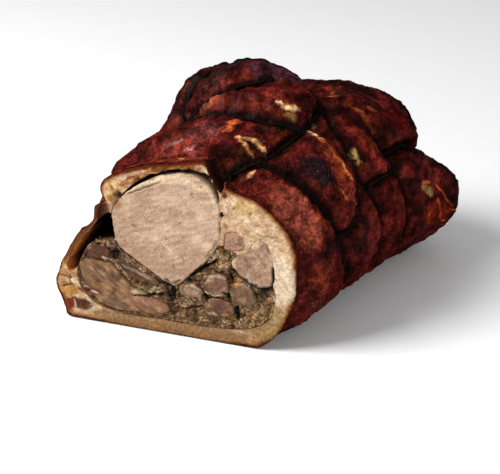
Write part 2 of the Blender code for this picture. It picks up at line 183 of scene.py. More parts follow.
# Outlines on the cut: across and up (mm) of their points
LOIN_SHAPE = (
    (-33.5, 88), (-34, 75), (-31, 62), (-20, 53), (-6, 44.5), (5, 38), (13, 39), (23, 49), (33, 60),
    (40, 70), (43, 84), (42.5, 99), (36, 112), (23, 119), (7, 118.5), (-9, 110.5), (-24, 100),
)
FLANK_SHAPE = (
    (-60, 41), (-56, 46.5), (-46, 47), (-37, 46), (-31, 41), (-23, 33), (-12, 27), (0, 24.5),
    (5, 20), (2, 15), (-12, 13), (-30, 12), (-46, 16), (-56, 27),
)
STRIP_SHAPE = (
    (-32, 47.5), (-25, 48.5), (-14, 43.5), (-4, 38.5), (-2, 36), (-7, 34.5), (-15, 35.5),
    (-23, 38.5), (-29, 42.5),
)
FLANK_END_SHAPE = (
    (-54, 50), (-50, 56), (-43, 59.5), (-37, 56), (-35.5, 51), (-41, 48.5), (-48, 49),
)
BELLY_SHAPE = (
    (51.5, 61), (55, 67), (61, 70), (65.5, 76), (70, 81), (75, 78), (79, 69), (79.5, 58),
    (78.5, 48.5), (72, 46), (66, 45.5), (60, 49.5), (55, 55),
)
UPPER_SHAPE = (
    (45, 71), (45.5, 76), (48, 82), (53, 83.5), (58, 80.5), (60, 76), (58, 71.5), (52, 69.5),
    (47, 69.5),
)
CHUNKS = (
    ((13, 34), (14.5, 38), (20, 40.5), (26, 39.5), (30, 36.5), (31, 32.5), (26, 30.5), (18, 30.5)),
    ((31.5, 42), (34, 47.5), (40, 50.5), (46, 49), (48.5, 44), (48, 38.5), (43, 34.8), (37, 34),
     (32.5, 37)),
    ((50, 39), (51.5, 45.5), (56, 48), (62, 45), (66.5, 41), (68, 35), (64, 31.5), (57, 31),
     (51.5, 33.5)),
    ((30.5, 26), (34, 31), (40, 32.3), (46, 31.5), (50.5, 29), (52, 24), (47, 20.5), (40, 19.5),
     (33, 21)),
)
TROUGH_SHAPE = (
    (-62, 38), (-59, 49), (-52, 59), (-42, 62), (-30, 64), (-10, 60), (10, 60), (30, 64), (43, 72),
    (50, 70.5), (56, 66), (70, 52), (80, 47), (81.5, 36), (77, 23), (62, 13), (32, 9), (0, 9),
    (-30, 9), (-50, 14), (-60, 25),
)
VOID_SHAPE = (
    (-36, 84), (-43, 79), (-50, 70), (-57, 62.5), (-61, 57), (-66, 48.5), (-70, 41), (-66, 36.5),
    (-60.5, 43), (-58, 51), (-52, 58.5), (-44, 62), (-36, 62), (-33, 68), (-33.5, 78),
)
ROOF_GAP_SHAPE = (
    (-30, 92), (-24, 101.5), (-15, 109.5), (-9, 113.5), (2, 118.5), (14, 121.8), (26, 121.5),
    (37, 116.5), (43, 106), (38, 100), (20, 100), (0, 95), (-18, 90),
)
TEAR_SHAPE = ((33, 132), (39, 132), (44, 124), (46, 115), (44, 109.5), (39.5, 114), (35.5, 121))
NARROW = 0.72            # how much of its width a muscle keeps at its inner end
FACE_CENTRE = (12, 62)   # where the rings of the cut close

# piece, node, outline, length back from the cut, how far its face stands out, points round it,
# colour of the wall of its bed
MUSCLES = (
    ("flank_meat", "flank_muscle", FLANK_SHAPE, 165, 0.8, 240, "#7a5a40"),
    ("flank_strip_meat", "flank_strip", STRIP_SHAPE, 120, -0.6, 120, "#4a3420"),
    ("flank_end_meat", "flank_end", FLANK_END_SHAPE, 100, 0.5, 110, "#6a4a32"),
    ("belly_meat", "belly_lean", BELLY_SHAPE, 150, 0.5, 170, "#b08c6e"),
    ("upper_meat", "upper_lean", UPPER_SHAPE, 120, -0.4, 120, "#b08c6e"),
) + tuple(
    (f"filling_chunk_{i + 1}", f"filling_meat_{i + 1}", shape, 110, 0.4, 120, "#5a422c")
    for i, shape in enumerate(CHUNKS)
)
LOIN_LENGTH, TROUGH_LENGTH = 190, 165     # back from the cut
GAP = 0.12               # mm left round a muscle in its bed
RAGGED = 0.9             # mm by which the edges of the small muscles wander

# Marks on the skin: colour, strength, half width and rise in mm, then angle and y of each point
SKIN_MARKS = (
    # broad regions
    ("#702c20", 0.9, 12, 0, (110, -114), (96, -108)),
    ("#5e241a", 0.7, 10, 0, (48, -112), (40, -104)),
    ("#7c3c2c", 0.9, 12, 0, (44, -112), (30, -112), (16, -108)),
    ("#6a2a1a", 0.9, 10, 0, (2, -104), (-8, -96)),
    ("#481f14", 0.85, 10, 0, (-18, -104), (-26, -90)),
    ("#460f08", 0.95, 12, 0, (-2, -76), (-24, -72)),
    ("#501c14", 0.9, 8, 0.2, (84, -64), (72, -60), (66, -58)),
    ("#200e0e", 0.93, 12, 0, (112, -50), (125, -42), (104, -44)),
    # grey and purple tones on the hump: painted sheen over the dark red
    ("#1a1113", 0.92, 9, 0, (106, -36), (92, -26)),
    ("#3a2228", 0.9, 8, 0, (86, -34), (66, -20)),
    ("#7e3a2c", 0.85, 5.5, 0.3, (136, -56), (124, -64), (113, -71)),
    ("#7e3322", 0.85, 7, 0.2, (44, -60), (32, -57), (20, -53)),
    ("#571a13", 0.85, 6, 0, (18, -60), (6, -50)),
    ("#250d0c", 0.9, 7, -0.3, (58, -24), (48, -12)),
    ("#7c2a1a", 0.9, 8, 0, (40, -18), (28, -6)),
    ("#822a24", 0.9, 5, 0.2, (28, -12), (22, 6)),
    ("#4c120d", 0.85, 10, 0, (12, 6), (-6, 18)),
    ("#2b120f", 0.9, 13, 0, (82, 32), (70, 48)),
    ("#480d08", 0.9, 13, 0, (52, 36), (42, 60)),
    ("#6e200f", 0.85, 12, 0.2, (-6, 60), (-16, 80)),
    ("#4f170e", 0.8, 14, 0, (10, 92), (20, 100)),
    # purple-grey on the upper left: painted sheen over the dark red
    ("#553036", 0.8, 10, 0, (130, 26), (100, 24)),
    ("#5a3036", 0.8, 12, 0, (160, 60), (130, 58)),
    ("#5a2418", 0.7, 16, 0, (150, -100), (170, -90)),
    ("#2f1511", 0.7, 18, 0, (160, -20), (165, 20)),
    ("#5c2416", 0.7, 12, 0, (170, 84), (185, 70)),
    # scorched crests
    ("#120a0b", 0.92, 4, 0.5, (100, -27), (93, -24), (84, -21), (77, -16)),
    ("#1c0d0c", 0.85, 5, 1.5, (122, -46), (114, -38)),
    ("#1c0d0c", 0.85, 5, 3, (111, -33), (104, -30)),
    ("#120809", 0.92, 6, 0, (109, 66), (96, 60), (83, 59), (71, 60)),
    ("#120809", 0.92, 6, 0, (68, 66), (60, 76), (50, 76), (42, 72)),
    ("#120a0a", 0.92, 6, 0, (18, 66), (18, 80), (14, 91), (6, 92)),
    ("#1c0b0a", 0.9, 5, 0, (-2, 92), (-12, 92), (-24, 96)),
    ("#150a0a", 0.9, 5, 0, (30, 50), (29, 58), (24, 66)),
    # lobe above the cut
    ("#9c4a24", 0.85, 1.3, 0.8, (127, -120), (119, -118.5)),
    ("#8a3a1c", 0.85, 1.1, 0.7, (113, -117), (106, -119)),
    ("#b0642e", 0.9, 1, 0.8, (101, -118.5), (95, -120)),
    ("#8a3c1c", 0.85, 1.2, 0.7, (90, -117), (83, -120)),
    ("#4a1a10", 0.85, 1, -0.8, (124, -115), (110, -113), (96, -114)),
    # pink-grey spots: painted highlights
    ("#a8806e", 0.7, 1, 0.2, (108, -106), (100, -104)),
    ("#94625a", 0.7, 1.6, 0.2, (98, -110), (92, -108)),
    ("#3a120c", 0.8, 2.2, -0.5, (118, -104), (112, -96), (104, -92)),
    # greyish purple patch: painted sheen
    ("#5c2e2c", 0.85, 8, 0.6, (98, -98), (86, -93)),
    ("#5f2a24", 0.85, 5, 0, (92, -124), (90, -106)),
    ("#2b1a0c", 0.85, 5, -1, (73, -121), (70, -104), (66, -88)),
    ("#160b07", 0.95, 1.6, -1.6, (84, -124), (82, -112), (76, -106), (68, -104)),
    ("#b98a5c", 0.9, 1.5, 0.4, (63, -110), (62, -106)),
    ("#c08a55", 0.9, 1.8, 0.3, (72, -124), (71, -121)),
    ("#9c4a24", 0.8, 3, 0.4, (83, -84), (78, -80)),
    ("#a5502a", 0.7, 3, 0.4, (84, -91), (80, -88)),
    ("#3a100a", 0.9, 1.4, -1.6, (73, -92.5), (68, -91), (63, -90)),
    ("#b8844a", 1, 0.9, 0.4, (77, -94), (73, -95), (69, -96), (66, -97)),
    ("#d6a268", 1, 1, 0.6, (77, -93.5), (73, -91.5), (69, -89), (64, -88.5), (61, -89)),
    ("#b27a40", 1, 1.3, -0.4, (59, -85), (57.5, -79), (55.5, -73)),
    ("#1c110b", 0.85, 4, -1, (70, -80), (64, -70), (62, -60)),
    # burnt pit and crease of the hump
    ("#7c4028", 0.85, 4.5, 0.4, (130, -68), (121, -74), (112, -76)),
    ("#8c4a2a", 0.8, 3, 0.3, (105, -66), (98, -60)),
    ("#0b0605", 0.95, 4, -2, (118, -72), (112, -72)),
    ("#100807", 0.95, 1.5, -1.6, (121, -68), (110, -62), (98, -56), (87, -48), (79, -40)),
    # bared fat beside the middle knot
    ("#3c2410", 0.9, 2.6, -1.2, (67, -51), (61, -50.5)),
    ("#8a7038", 0.95, 1.7, -0.8, (65, -53), (62, -51.5), (60, -50.5)),
    ("#d8b27c", 1, 0.9, 0.5, (71, -53), (68, -51), (64, -48.5), (61, -47)),
    ("#dcae78", 1, 1, 0.9, (56, -38.5), (53, -41), (51, -45.5)),
    ("#e2b884", 1, 1.1, 0.9, (54, -49.5), (51, -50), (48.5, -51.5)),
    ("#c98a4a", 1, 0.8, 0.5, (48, -52), (45, -53), (41, -54)),
    # middle lobe
    ("#191217", 0.95, 7, 0.3, (46, -79), (40, -75), (33, -70)),
    ("#7c3a1e", 0.8, 3, 0.2, (46, -55), (38, -55), (28, -53)),
    ("#b8642c", 1, 0.7, 0.5, (41, -54.5), (37, -53.5), (35, -51.5)),
    ("#c8783a", 1, 0.8, 0.5, (35, -51.5), (31, -51.5), (27, -51)),
    ("#b0602e", 0.95, 0.7, 0.4, (28, -63), (24, -62), (21, -59)),
    ("#b8642e", 0.95, 0.9, 0.4, (19, -52), (16, -47), (12, -43.5)),
    ("#e0bc8c", 1, 1.1, 0.5, (21, -40.5), (19, -36.5)),
    ("#1d0e0c", 0.8, 5, 0, (8, -48), (5, -36)),
    ("#9a4a24", 0.8, 3.5, 0.3, (27, -99), (19, -94)),
    # rear lobes
    ("#8a7032", 0.95, 1.1, -0.3, (34, -27.5), (30, -27)),
    ("#d8b768", 1, 0.9, 0.3, (33.5, -24.5), (29, -24), (26, -24)),
    ("#c06c32", 1, 1, 0.4, (60, -11), (59, -6)),
    ("#b05a2a", 0.9, 0.7, 0.4, (58, -4), (54, 2), (50, 4)),
    ("#b0632c", 0.95, 0.9, 0.5, (70, 21), (78, 32), (87, 45)),
    ("#9c4c26", 0.7, 1.1, 0.3, (62, 15), (50, 15.5), (40, 18)),
    ("#a04d28", 0.85, 2.2, 0.3, (55, 22), (55, 30)),
    ("#8f7845", 0.9, 3.4, -0.2, (8, 48), (5, 56), (2, 62)),
    ("#9a4a20", 0.9, 1.6, 0.2, (11, 49), (9, 58)),
    ("#b0491c", 0.9, 0.8, 0.5, (0, 70), (-6, 74), (-14, 79), (-22, 88)),
    ("#b0491c", 0.9, 0.7, 0.5, (-4, 57), (-12, 63), (-20, 69)),
    ("#a8441c", 0.9, 0.7, 0.5, (6, 68), (-2, 80), (-10, 90)),
    ("#b98650", 0.9, 1.2, -0.6, (152, -24), (146, -14), (143, -6)),
    ("#b0632c", 0.8, 1.8, 0.4, (170, 30), (160, 36), (150, 38)),
)
# Marks on the cut: colour, strength, half width and rise in mm, then across and up of each point
CUT_MARKS = (
    # rind and fat over the top
    ("#9c6434", 0.9, 2.6, 0.3, (-30, 104), (-20, 109.5), (-10, 114.5), (0, 118.5), (10, 121.5),
     (20, 124), (30, 124)),
    ("#d2a468", 0.8, 0.8, 0.3, (-24, 107), (-10, 114), (0, 118), (12, 121.8), (24, 122.5)),
    ("#6a2c12", 0.8, 0.9, 0.4, (-22, 111), (-12, 115.8)),
    ("#6a2c12", 0.8, 0.9, 0.4, (-4, 118.8), (8, 122.6)),
    ("#8a4a20", 0.8, 0.9, 0.4, (14, 125), (26, 126)),
    ("#54230f", 0.9, 0.7, -0.6, (-16, 110.5), (-13, 113)),
    ("#54230f", 0.9, 0.6, -0.6, (3, 119.5), (5, 121.5)),
    ("#54230f", 0.9, 0.7, -0.6, (20, 122.5), (23, 124.5)),
    ("#5e2210", 0.95, 1.7, 0.4, (-34, 111.5), (-22, 116.5), (-10, 120.5), (2, 123.5), (14, 126),
     (28, 129), (36, 127.5)),
    ("#cb9c67", 0.9, 6, 1, (-36, 101), (-31, 98)),
    ("#e8c690", 0.8, 1.6, 0.8, (-38, 104), (-32, 105), (-27, 104)),
    ("#8f5a2c", 0.8, 2, 0, (-36, 95), (-30, 94)),
    ("#2a140a", 0.95, 1.8, -2.5, (-29, 101), (-27.5, 97)),
    ("#c8823e", 0.9, 1.6, 0.3, (-33, 91.5), (-28, 90)),
    ("#9a6a34", 0.85, 1.2, -0.8, (-39.5, 101)),
    ("#8a5a2a", 0.85, 0.7, -0.9, (-35, 104.5), (-31, 102.5)),
    ("#f0d49c", 0.9, 1.2, 0.9, (-37, 98.5), (-34, 100)),
    ("#4a2410", 0.95, 1.3, -1.6, (-31.5, 98.5), (-29, 96)),
    ("#e6c488", 0.9, 0.9, 0.7, (-28, 101), (-24, 104)),
    # near-black line and hole along the loin's top, and the dark tear: painted shade in the gap, the
    # hole and the tear
    ("#1a0d07", 1, 1.6, -2, (-19, 106), (-10, 111.5), (-4, 114.5), (5, 118.3), (14, 121),
     (24, 121.5), (33, 120), (40, 116.5)),
    ("#0d0705", 1, 2.4, -3, (-9, 112), (-4, 114)),
    ("#23100a", 0.95, 3.2, -2, (36, 128), (39.5, 122), (42, 117)),
    ("#5a1a10", 0.9, 2, 0, (46, 111), (47, 107)),
    ("#d8b184", 1, 1.5, 0.6, (45, 116.5), (48, 116)),
    ("#d8b184", 1, 1.2, 0.6, (53, 116.5), (55, 115.5)),
    # fat at the right and below
    ("#f2dcc2", 0.85, 7, 0.2, (84, 70), (87, 58), (88, 46), (84, 38)),
    ("#a08456", 0.8, 7, 0, (83, 30), (76, 16), (60, 8)),
    ("#a38058", 0.85, 7, 0.3, (74, 30), (70, 20), (60, 18)),
    ("#94704c", 0.85, 6, 0, (60, 6), (20, 5), (-20, 5), (-50, 6)),
    ("#d9b377", 0.7, 5, 0.3, (53, 101), (66, 101)),
    ("#5a2d18", 0.9, 0.9, -0.3, (52.5, 100.5)),
    ("#5a2d18", 0.9, 0.8, -0.3, (64, 98)),
    ("#6b2a18", 0.9, 1.3, -0.3, (47, 108)),
    ("#c87a3c", 0.9, 0.8, 0.2, (69, 91)),
    ("#c8884c", 0.8, 0.9, 0.2, (70, 73), (70.5, 80)),
    ("#e9cfae", 0.8, 0.7, 0.5, (62, 88), (69, 85.5), (75, 83), (78, 77), (78, 72)),
    ("#a5805e", 0.8, 0.7, -0.6, (67, 85), (73, 83), (82, 84)),
    ("#6d4a30", 0.8, 0.8, -0.4, (82, 53)),
    # upper lean and the herbs under it
    ("#b98f76", 0.7, 3, 0.2, (46, 80), (54, 81)),
    ("#7d4c36", 0.8, 1, -0.5, (54, 74.5), (57, 75)),
    ("#c08a4c", 0.9, 1.8, 0.2, (41.5, 66.5), (43, 68)),
    ("#66552f", 0.9, 2.6, -0.6, (46, 67), (49, 63)),
    # belly lean
    ("#d9bc9c", 0.9, 1.6, 0.3, (53, 58), (53.5, 63)),
    ("#dcc1a3", 0.8, 2, 0.4, (66, 74), (71, 79)),
    ("#a98068", 0.7, 3, 0, (66, 56), (72, 52)),
    # near-black line under the belly lean: painted shade in the crevice
    ("#140b06", 1, 1.4, -2.2, (50, 55.5), (55, 52), (60, 49), (66, 45.5), (71, 44), (75, 45.5),
     (79, 48)),
    ("#1c0f08", 0.95, 0.8, -1.5, (79, 48), (79.6, 55), (79.3, 62)),
    ("#3a3420", 0.8, 3, -0.6, (67, 40), (75, 40)),
    # fissures round the loin; their near-black lines are painted shade in the cracks
    ("#c9aa88", 0.9, 3.2, 0.4, (24, 50.5), (32, 58), (40, 66)),
    ("#120a05", 1, 1.5, -2.5, (21, 46), (26, 50), (32, 55), (39, 59.5)),
    ("#0e0704", 1, 1.3, -2.6, (-30, 57.5), (-24, 54.5), (-19, 51), (-13, 47.5), (-6, 43),
     (0, 39.5)),
    ("#0e0704", 1, 2.2, -3, (-4, 41), (0, 37.5), (5, 35)),
    ("#0e0704", 1, 1.4, -2.4, (-37, 54), (-33, 56.5), (-30, 54)),
    # pieces of meat in the filling
    ("#c4a888", 0.85, 1, 0.4, (32, 43), (35, 47.5), (40, 50), (46, 48.5)),
    ("#c4a888", 0.8, 0.8, 0.4, (18, 38), (24, 39.5), (29, 37)),
    ("#c4a888", 0.8, 0.8, 0.4, (54, 45), (60, 47), (66, 43)),
    ("#855a44", 0.7, 4, 0.2, (37, 42), (43, 43)),
    ("#d0b08c", 0.9, 0.8, 0.3, (32, 36), (36, 34.5), (40, 34), (47, 37)),
    # the near-black marks of this group (#0f0804, #120a05, #1a0f08) are painted shade in the
    # crevices between the pieces
    ("#0f0804", 1, 1.6, -2.5, (48.5, 51), (50.5, 46)),
    ("#0f0804", 1, 1.5, -2.5, (45.5, 38), (48.5, 33)),
    ("#7d5540", 0.7, 4, 0, (60, 40), (62, 38)),
    ("#b9803f", 0.85, 1.8, 0.3, (53.5, 44), (56.5, 49)),
    ("#ad9077", 0.7, 2.5, 0.2, (18, 35), (26, 35)),
    ("#120a05", 1, 1.6, -2, (19, 42.5), (21, 42.5)),
    ("#120a05", 1, 1.8, -2.2, (31, 34.5), (33, 30)),
    ("#120a05", 1, 1.2, -2, (17, 28.5), (19, 27)),
    ("#6b3f30", 0.8, 3, 0.2, (37, 28), (48, 28)),
    ("#c8ab88", 0.9, 1.8, 0.3, (34, 20), (40, 20)),
    ("#b27a45", 0.85, 2.4, 0.2, (46, 21), (51, 20)),
    ("#1a0f08", 1, 1.8, -2, (53.5, 28), (54, 18)),
    # herbs and crumbs
    ("#120c07", 0.97, 4, -2, (4, 39), (6, 31), (7, 25)),
    ("#b89b74", 0.9, 1, 0.4, (4, 33)),
    ("#b89b74", 0.9, 1.1, 0.4, (10, 28)),
    ("#a88a62", 0.9, 0.8, 0.3, (8, 36)),
    ("#a58a6b", 0.8, 2.4, 0.2, (12, 26), (28, 27)),
    ("#1e120a", 0.95, 0.8, -1.2, (14, 20), (20, 21.5), (25, 23), (31, 25)),
    ("#c2ab82", 0.9, 2.8, 0.3, (-20, 27.5), (-8, 30), (-2, 31)),
    ("#6f6a44", 0.6, 2, 0, (-14, 30), (-6, 33)),
    ("#140c07", 1, 0.9, -1.5, (-20, 25), (-10, 26.2), (0, 28)),
    ("#1c110a", 0.95, 1.2, -1, (-18, 34)),
    ("#1c110a", 0.95, 1.1, -1, (-11, 35)),
    ("#7b6244", 0.8, 3, 0.4, (-36, 57), (-26, 53)),
    ("#1b1209", 0.95, 2.2, -1, (-37, 52.5), (-32, 53)),
    ("#2a1a0e", 0.9, 1, -0.8, (-40, 49.5), (-30, 50.5)),
    ("#d2b48c", 0.9, 1.6, 0.6, (-43, 60.5)),
    # flank, its strip and its end
    ("#b09478", 0.8, 0.8, 0.3, (-28, 46), (-18, 42.5), (-8, 38.5)),
    ("#4c311d", 0.8, 0.9, -0.5, (-26, 43), (-16, 39), (-8, 36)),
    ("#553019", 0.85, 3.4, 0.2, (-52, 51.5), (-43, 55)),
    ("#1e110a", 0.95, 0.9, -0.6, (-56, 48)),
    ("#c7a583", 0.85, 1, 0.3, (-43, 50), (-38, 48.5), (-32, 45.5), (-25, 38.5)),
    ("#a0705a", 0.8, 2.6, 0.2, (-28, 19), (-14, 20.5), (-1, 22.5)),
    ("#6b5438", 0.8, 3, -0.2, (-43, 17), (-26, 16.5)),
    ("#6a4830", 0.6, 1, -0.3, (-50, 42), (-40, 33)),
    ("#6a4830", 0.6, 1, -0.3, (-42, 42), (-30, 28)),
    ("#a98468", 0.6, 1, 0.3, (-46, 40), (-34, 30)),
    ("#2a180d", 0.9, 0.9, -0.8, (-60, 38), (-57.5, 28), (-53, 24.5)),
    # thin wall at the left
    ("#6b3b1c", 0.95, 5, 0, (-44, 86), (-50, 77), (-57, 69), (-63, 61), (-69, 52), (-73, 43)),
    ("#8a5a32", 0.85, 1.4, 0.3, (-49, 80), (-56, 71.5), (-63, 63.5), (-68, 55), (-72, 47),
     (-75, 39)),
    ("#c9924c", 0.8, 0.8, 0.3, (-72, 44), (-74, 36)),
    ("#34140b", 0.95, 3.8, -0.6, (-38, 89), (-41, 85), (-44, 79)),
    # fold at the lower left
    ("#c39460", 0.95, 7, 1, (-72, 30), (-68, 20)),
    ("#b98a5c", 0.9, 2.2, 0.8, (-77, 34), (-70, 35.5), (-62, 33)),
    ("#f1dcb8", 0.9, 1.6, 0.8, (-70, 29.5), (-63, 28)),
    ("#8c7442", 0.85, 1.2, -0.8, (-74, 26), (-70, 26)),
    ("#c98f45", 0.9, 2.4, 0.4, (-74, 19), (-68, 19), (-63, 22)),
    ("#d9bb92", 0.9, 1.6, 0.4, (-62, 26), (-55, 25.5)),
    ("#6b2a1a", 0.85, 2.4, 0, (-61, 22.5), (-52, 22.5), (-46, 23)),
    ("#d9bd96", 0.9, 0.9, 0.4, (-52, 23), (-47, 22)),
    ("#3c100b", 0.92, 4.5, -0.4, (-69, 12), (-54, 11)),
    ("#7a4a28", 0.8, 0.8, 0.4, (-62, 16), (-60, 8)),
    ("#6a4524", 0.9, 0.7, -1.2, (-76, 31.5), (-66, 30.5)),
    ("#6a4524", 0.9, 0.7, -1.2, (-75, 23), (-66, 25.5)),
    ("#7a5028", 0.9, 0.6, -1, (-68, 33), (-65, 22)),
    ("#7d2a1c", 0.9, 2.2, 0, (-70, 13), (-69, 6)),
    ("#cfae84", 0.9, 0.7, 0.3, (-65.5, 14), (-64.5, 6)),
    # loin
    ("#b3937a", 0.55, 11, 0, (-31, 86), (-25, 68), (-6, 52), (8, 44)),
    ("#ecd3b4", 0.85, 3, 0.3, (-23, 101), (-12, 107), (0, 113), (16, 115), (30, 110)),
    ("#6d4a34", 0.9, 0.6, -1, (-22, 99.5), (-10, 106), (3, 112)),
    ("#e6cfae", 0.7, 1.2, 0.2, (28, 115), (37, 107), (41, 98)),
    ("#a8593a", 0.8, 0.9, -0.2, (30, 112)),
    ("#a8593a", 0.8, 0.8, -0.2, (23, 106)),
    # dark spot: painted shade in a small hole
    ("#2a1409", 1, 1.6, -2.5, (44, 95), (43, 93)),
    ("#8a6248", 0.7, 0.6, -0.4, (42, 92), (42.5, 86), (43, 80)),
    ("#6d4a34", 0.85, 0.6, -0.7, (41, 75), (38, 69), (31, 60)),
    ("#6b4630", 0.8, 0.7, -0.4, (-28, 67)),
    ("#6b4630", 0.8, 0.7, -0.4, (-26, 65)),
    ("#6b4630", 0.8, 0.7, -0.4, (5, 71)),
    ("#6b4630", 0.8, 0.6, -0.4, (-29, 71)),
    ("#3a2213", 0.9, 0.8, -0.8, (8, 38), (15, 42)),
    ("#5c3d2a", 0.85, 0.5, -0.5, (-12, 66)),
    ("#5c3d2a", 0.85, 0.5, -0.5, (-4, 62)),
    ("#5c3d2a", 0.85, 0.5, -0.5, (1, 57)),
    ("#5c3d2a", 0.85, 0.45, -0.5, (9, 52), (11, 49)),
    ("#5c3d2a", 0.85, 0.45, -0.5, (-20, 78), (-17, 77)),
    ("#8a5a44", 0.7, 0.5, -0.4, (15, 61), (17, 57), (16, 53)),
    ("#e8cdb2", 0.7, 1, 0.4, (-18, 72), (-12, 70)),
    ("#e8cdb2", 0.7, 1, 0.4, (3, 66), (8, 63)),
    ("#e0bfa6", 0.6, 1.2, 0.4, (12, 60), (13, 55)),
    ("#e8cdb2", 0.6, 0.9, 0.4, (-9, 78), (-3, 79)),
    ("#b8967c", 0.45, 0.8, -0.2, (-20, 75), (10, 90)),
    ("#b8967c", 0.4, 0.8, -0.2, (-5, 60), (20, 75)),
    ("#dcc2a6", 0.4, 1, 0.2, (-15, 85), (15, 100)),
)
SKIN_SHADE = (1.0, 0.88, 0.92)        # all of the skin redder
# Depth from the outer edge of the cut (mm) and the colour there: crust, browned fat, fat
CRUST = ((0.0, "#33110a"), (0.7, "#5e2a12"), (1.5, "#86522c"), (2.6, "#ad8058"), (4.2, "#cba783"))
CUT_SHADE = (0.64, 0.615, 0.58)       # all of the cut a little darker and warmer
# dark, usual and light tone of each kind of cut surface, and the seed of their unevenness
TONES = {
    "rind_and_fat": ("#b8936f", "#d6b492", "#ecd1b2", 0),
    "loin": ("#b3937a", "#caa98f", "#dec1a8", 2),
    "flank_muscle": ("#644228", "#8a6242", "#aa8460", 1),
    "flank_strip": ("#36200f", "#5b3b22", "#886644", 0),
    "flank_end": ("#351708", "#582c14", "#7c4a2c", 0),
    "belly_lean": ("#98725a", "#b29079", "#c6a78a", 0),
    "upper_lean": ("#94705a", "#b08a72", "#c4a088", 1),
    "filling_meat_1": ("#5d4029", "#826247", "#a8886a", 0),
    "filling_meat_2": ("#5f4232", "#82604e", "#a88c72", 0),
    "filling_meat_3": ("#5c3f2a", "#7d5c44", "#a08062", 0),
    "filling_meat_4": ("#4a2c1b", "#755036", "#a07e5e", 0),
    "herb_stuffing": ("#3d2a1b", "#8c6b4b", "#bd9c78", 0),
}


def linear(code):
    """Linear colour of an sRGB hex code."""
    values = [int(code[i:i + 2], 16) / 255 for i in (1, 3, 5)]
    return tuple(v / 12.92 if v <= 0.04045 else ((v + 0.055) / 1.055) ** 2.4
                 for v in values) + (1.0,)


# ---- The roll's form ----
def smooth(values, at):
    """Values of a table between its rows, on a smooth curve through them."""
    table = np.array(values, float)
    x = table[:, 0]
    at = np.clip(np.asarray(at, float), x[0], x[-1])
    i = np.clip(np.searchsorted(x, at) - 1, 0, len(x) - 2)
    slopes = np.gradient(table[:, 1:], x, axis=0)
    h = (x[i + 1] - x[i])[..., None]
    u = ((at - x[i]) / (x[i + 1] - x[i]))[..., None]
    a, b = table[i, 1:], table[i + 1, 1:]
    return ((2 * u**3 - 3 * u**2 + 1) * a + (u**3 - 2 * u**2 + u) * h * slopes[i]
            + (3 * u**2 - 2 * u**3) * b + (u**3 - u**2) * h * slopes[i + 1])


def bare_section(angle, y):
    """Point of the skin before twine and swellings, and the middle of the meat there."""
    left, left_z, right, right_z, top_x, top, square = np.moveaxis(smooth(STATIONS, y), -1, 0)
    c, s = np.cos(angle), np.sin(angle)
    upper, rightward = s >= 0, c >= 0
    power = np.where(upper, np.where(rightward, ROUNDNESS[0], square),
                     np.where(rightward, ROUNDNESS[2], ROUNDNESS[1]))
    side = np.where(rightward, right, left)
    side_z = np.where(rightward, right_z, left_z)
    crown = np.where(upper, top, -BASE_SAG)
    x = top_x + (side - top_x) * np.abs(c) ** (2 / power)
    z = side_z + (crown - side_z) * np.abs(s) ** (2 / power)
    start, exponent = END_ROUND
    u = np.clip((y - start) / (END_Y - start), 0, 1)
    close = (1 - u**exponent) ** (1 / exponent)
    mid_x, mid_z = 0.5 * (left + right), MID_HEIGHT * top
    return mid_x + (x - mid_x) * close, mid_z + (z - mid_z) * close, mid_x, mid_z


def closed_curve(points, count):
    """Evenly spread points of a smooth closed curve through the given ones."""
    p = np.array(points, float)
    t = np.linspace(0, len(p), count, endpoint=False)
    i, u = t.astype(int), (t % 1)[:, None]
    a, b, c, d = (p[(i + k) % len(p)] for k in (-1, 0, 1, 2))
    return 0.5 * (2 * b + (c - a) * u + (2 * a - 5 * b + 4 * c - d) * u**2
                  + (3 * b - a - 3 * c + d) * u**3)


def on_rim(x, z):
    """Where the rim of the cut lies in the direction of a point of the skin."""
    edge = closed_curve(RIM, RIM_POINTS)
    edge[:, 1] = np.maximum(edge[:, 1], 0)
    centre = RIM_CENTRE
    way = np.arctan2(edge[:, 1] - centre[1], edge[:, 0] - centre[0])
    far = np.hypot(edge[:, 0] - centre[0], edge[:, 1] - centre[1])
    order = np.argsort(way)
    at = np.arctan2(z - centre[1], x - centre[0])
    reach = np.interp(at, way[order], far[order], period=2 * math.pi)
    return centre[0] + reach * np.cos(at), centre[1] + reach * np.sin(at)


def loop_y(values, angle):
    """Where a twine loop lies along the roll at an angle."""
    count = len(values)
    table = [(LOOP_TURN * i, values[i % count]) for i in range(-2, count + 3)]
    return smooth(table, np.degrees(np.asarray(angle)) % 360)[..., 0]


def run_points(points, step=RUN_STEP):
    """Evenly spaced angles and y along a run."""
    table = [(float(i), float(a), float(b)) for i, (a, b) in enumerate(points)]
    length = sum(math.hypot((b[0] - a[0]) * DEGREE, b[1] - a[1])
                 for a, b in zip(points, points[1:]))
    route = smooth(table, np.linspace(0, len(points) - 1, int(length / step) + 1))
    return np.radians(route[:, 0]), route[:, 1]


def turn_between(angle, other):
    """Difference of two angles in radians, the short way round."""
    return (angle - other + math.pi) % (2 * math.pi) - math.pi


def twine_channels(angle, y):
    """Depth of the channels that the twine presses, and the distance to the nearest twine."""
    depth, near = np.zeros_like(y), np.full(y.shape, 1e9)
    for bite, values in LOOPS:
        d = y - loop_y(values, angle)
        depth = np.maximum(depth, bite * np.exp(-((d / GROOVE_WIDTH) ** 2)))
        near = np.minimum(near, np.abs(d) * LOOP_SLANT)
    for bite, points in RUNS:
        gap = np.full(y.shape, 1e9)
        for a, b in zip(*run_points(points)):
            gap = np.minimum(gap, (turn_between(angle, a) * GIRTH) ** 2 + (y - b) ** 2)
        depth = np.maximum(depth, bite * np.exp(-gap / GROOVE_WIDTH**2))
        # half a step of the run, squared, is taken off: about 0 between two of its points too
        near = np.minimum(near, np.sqrt(np.maximum(gap - 2.0, 0)))
    # the roll's weight presses the channels shallower on its underside
    pressed = np.clip(-1.6 * np.sin(angle) - 0.4, 0, 1)
    return depth * (1 - 0.45 * pressed), near


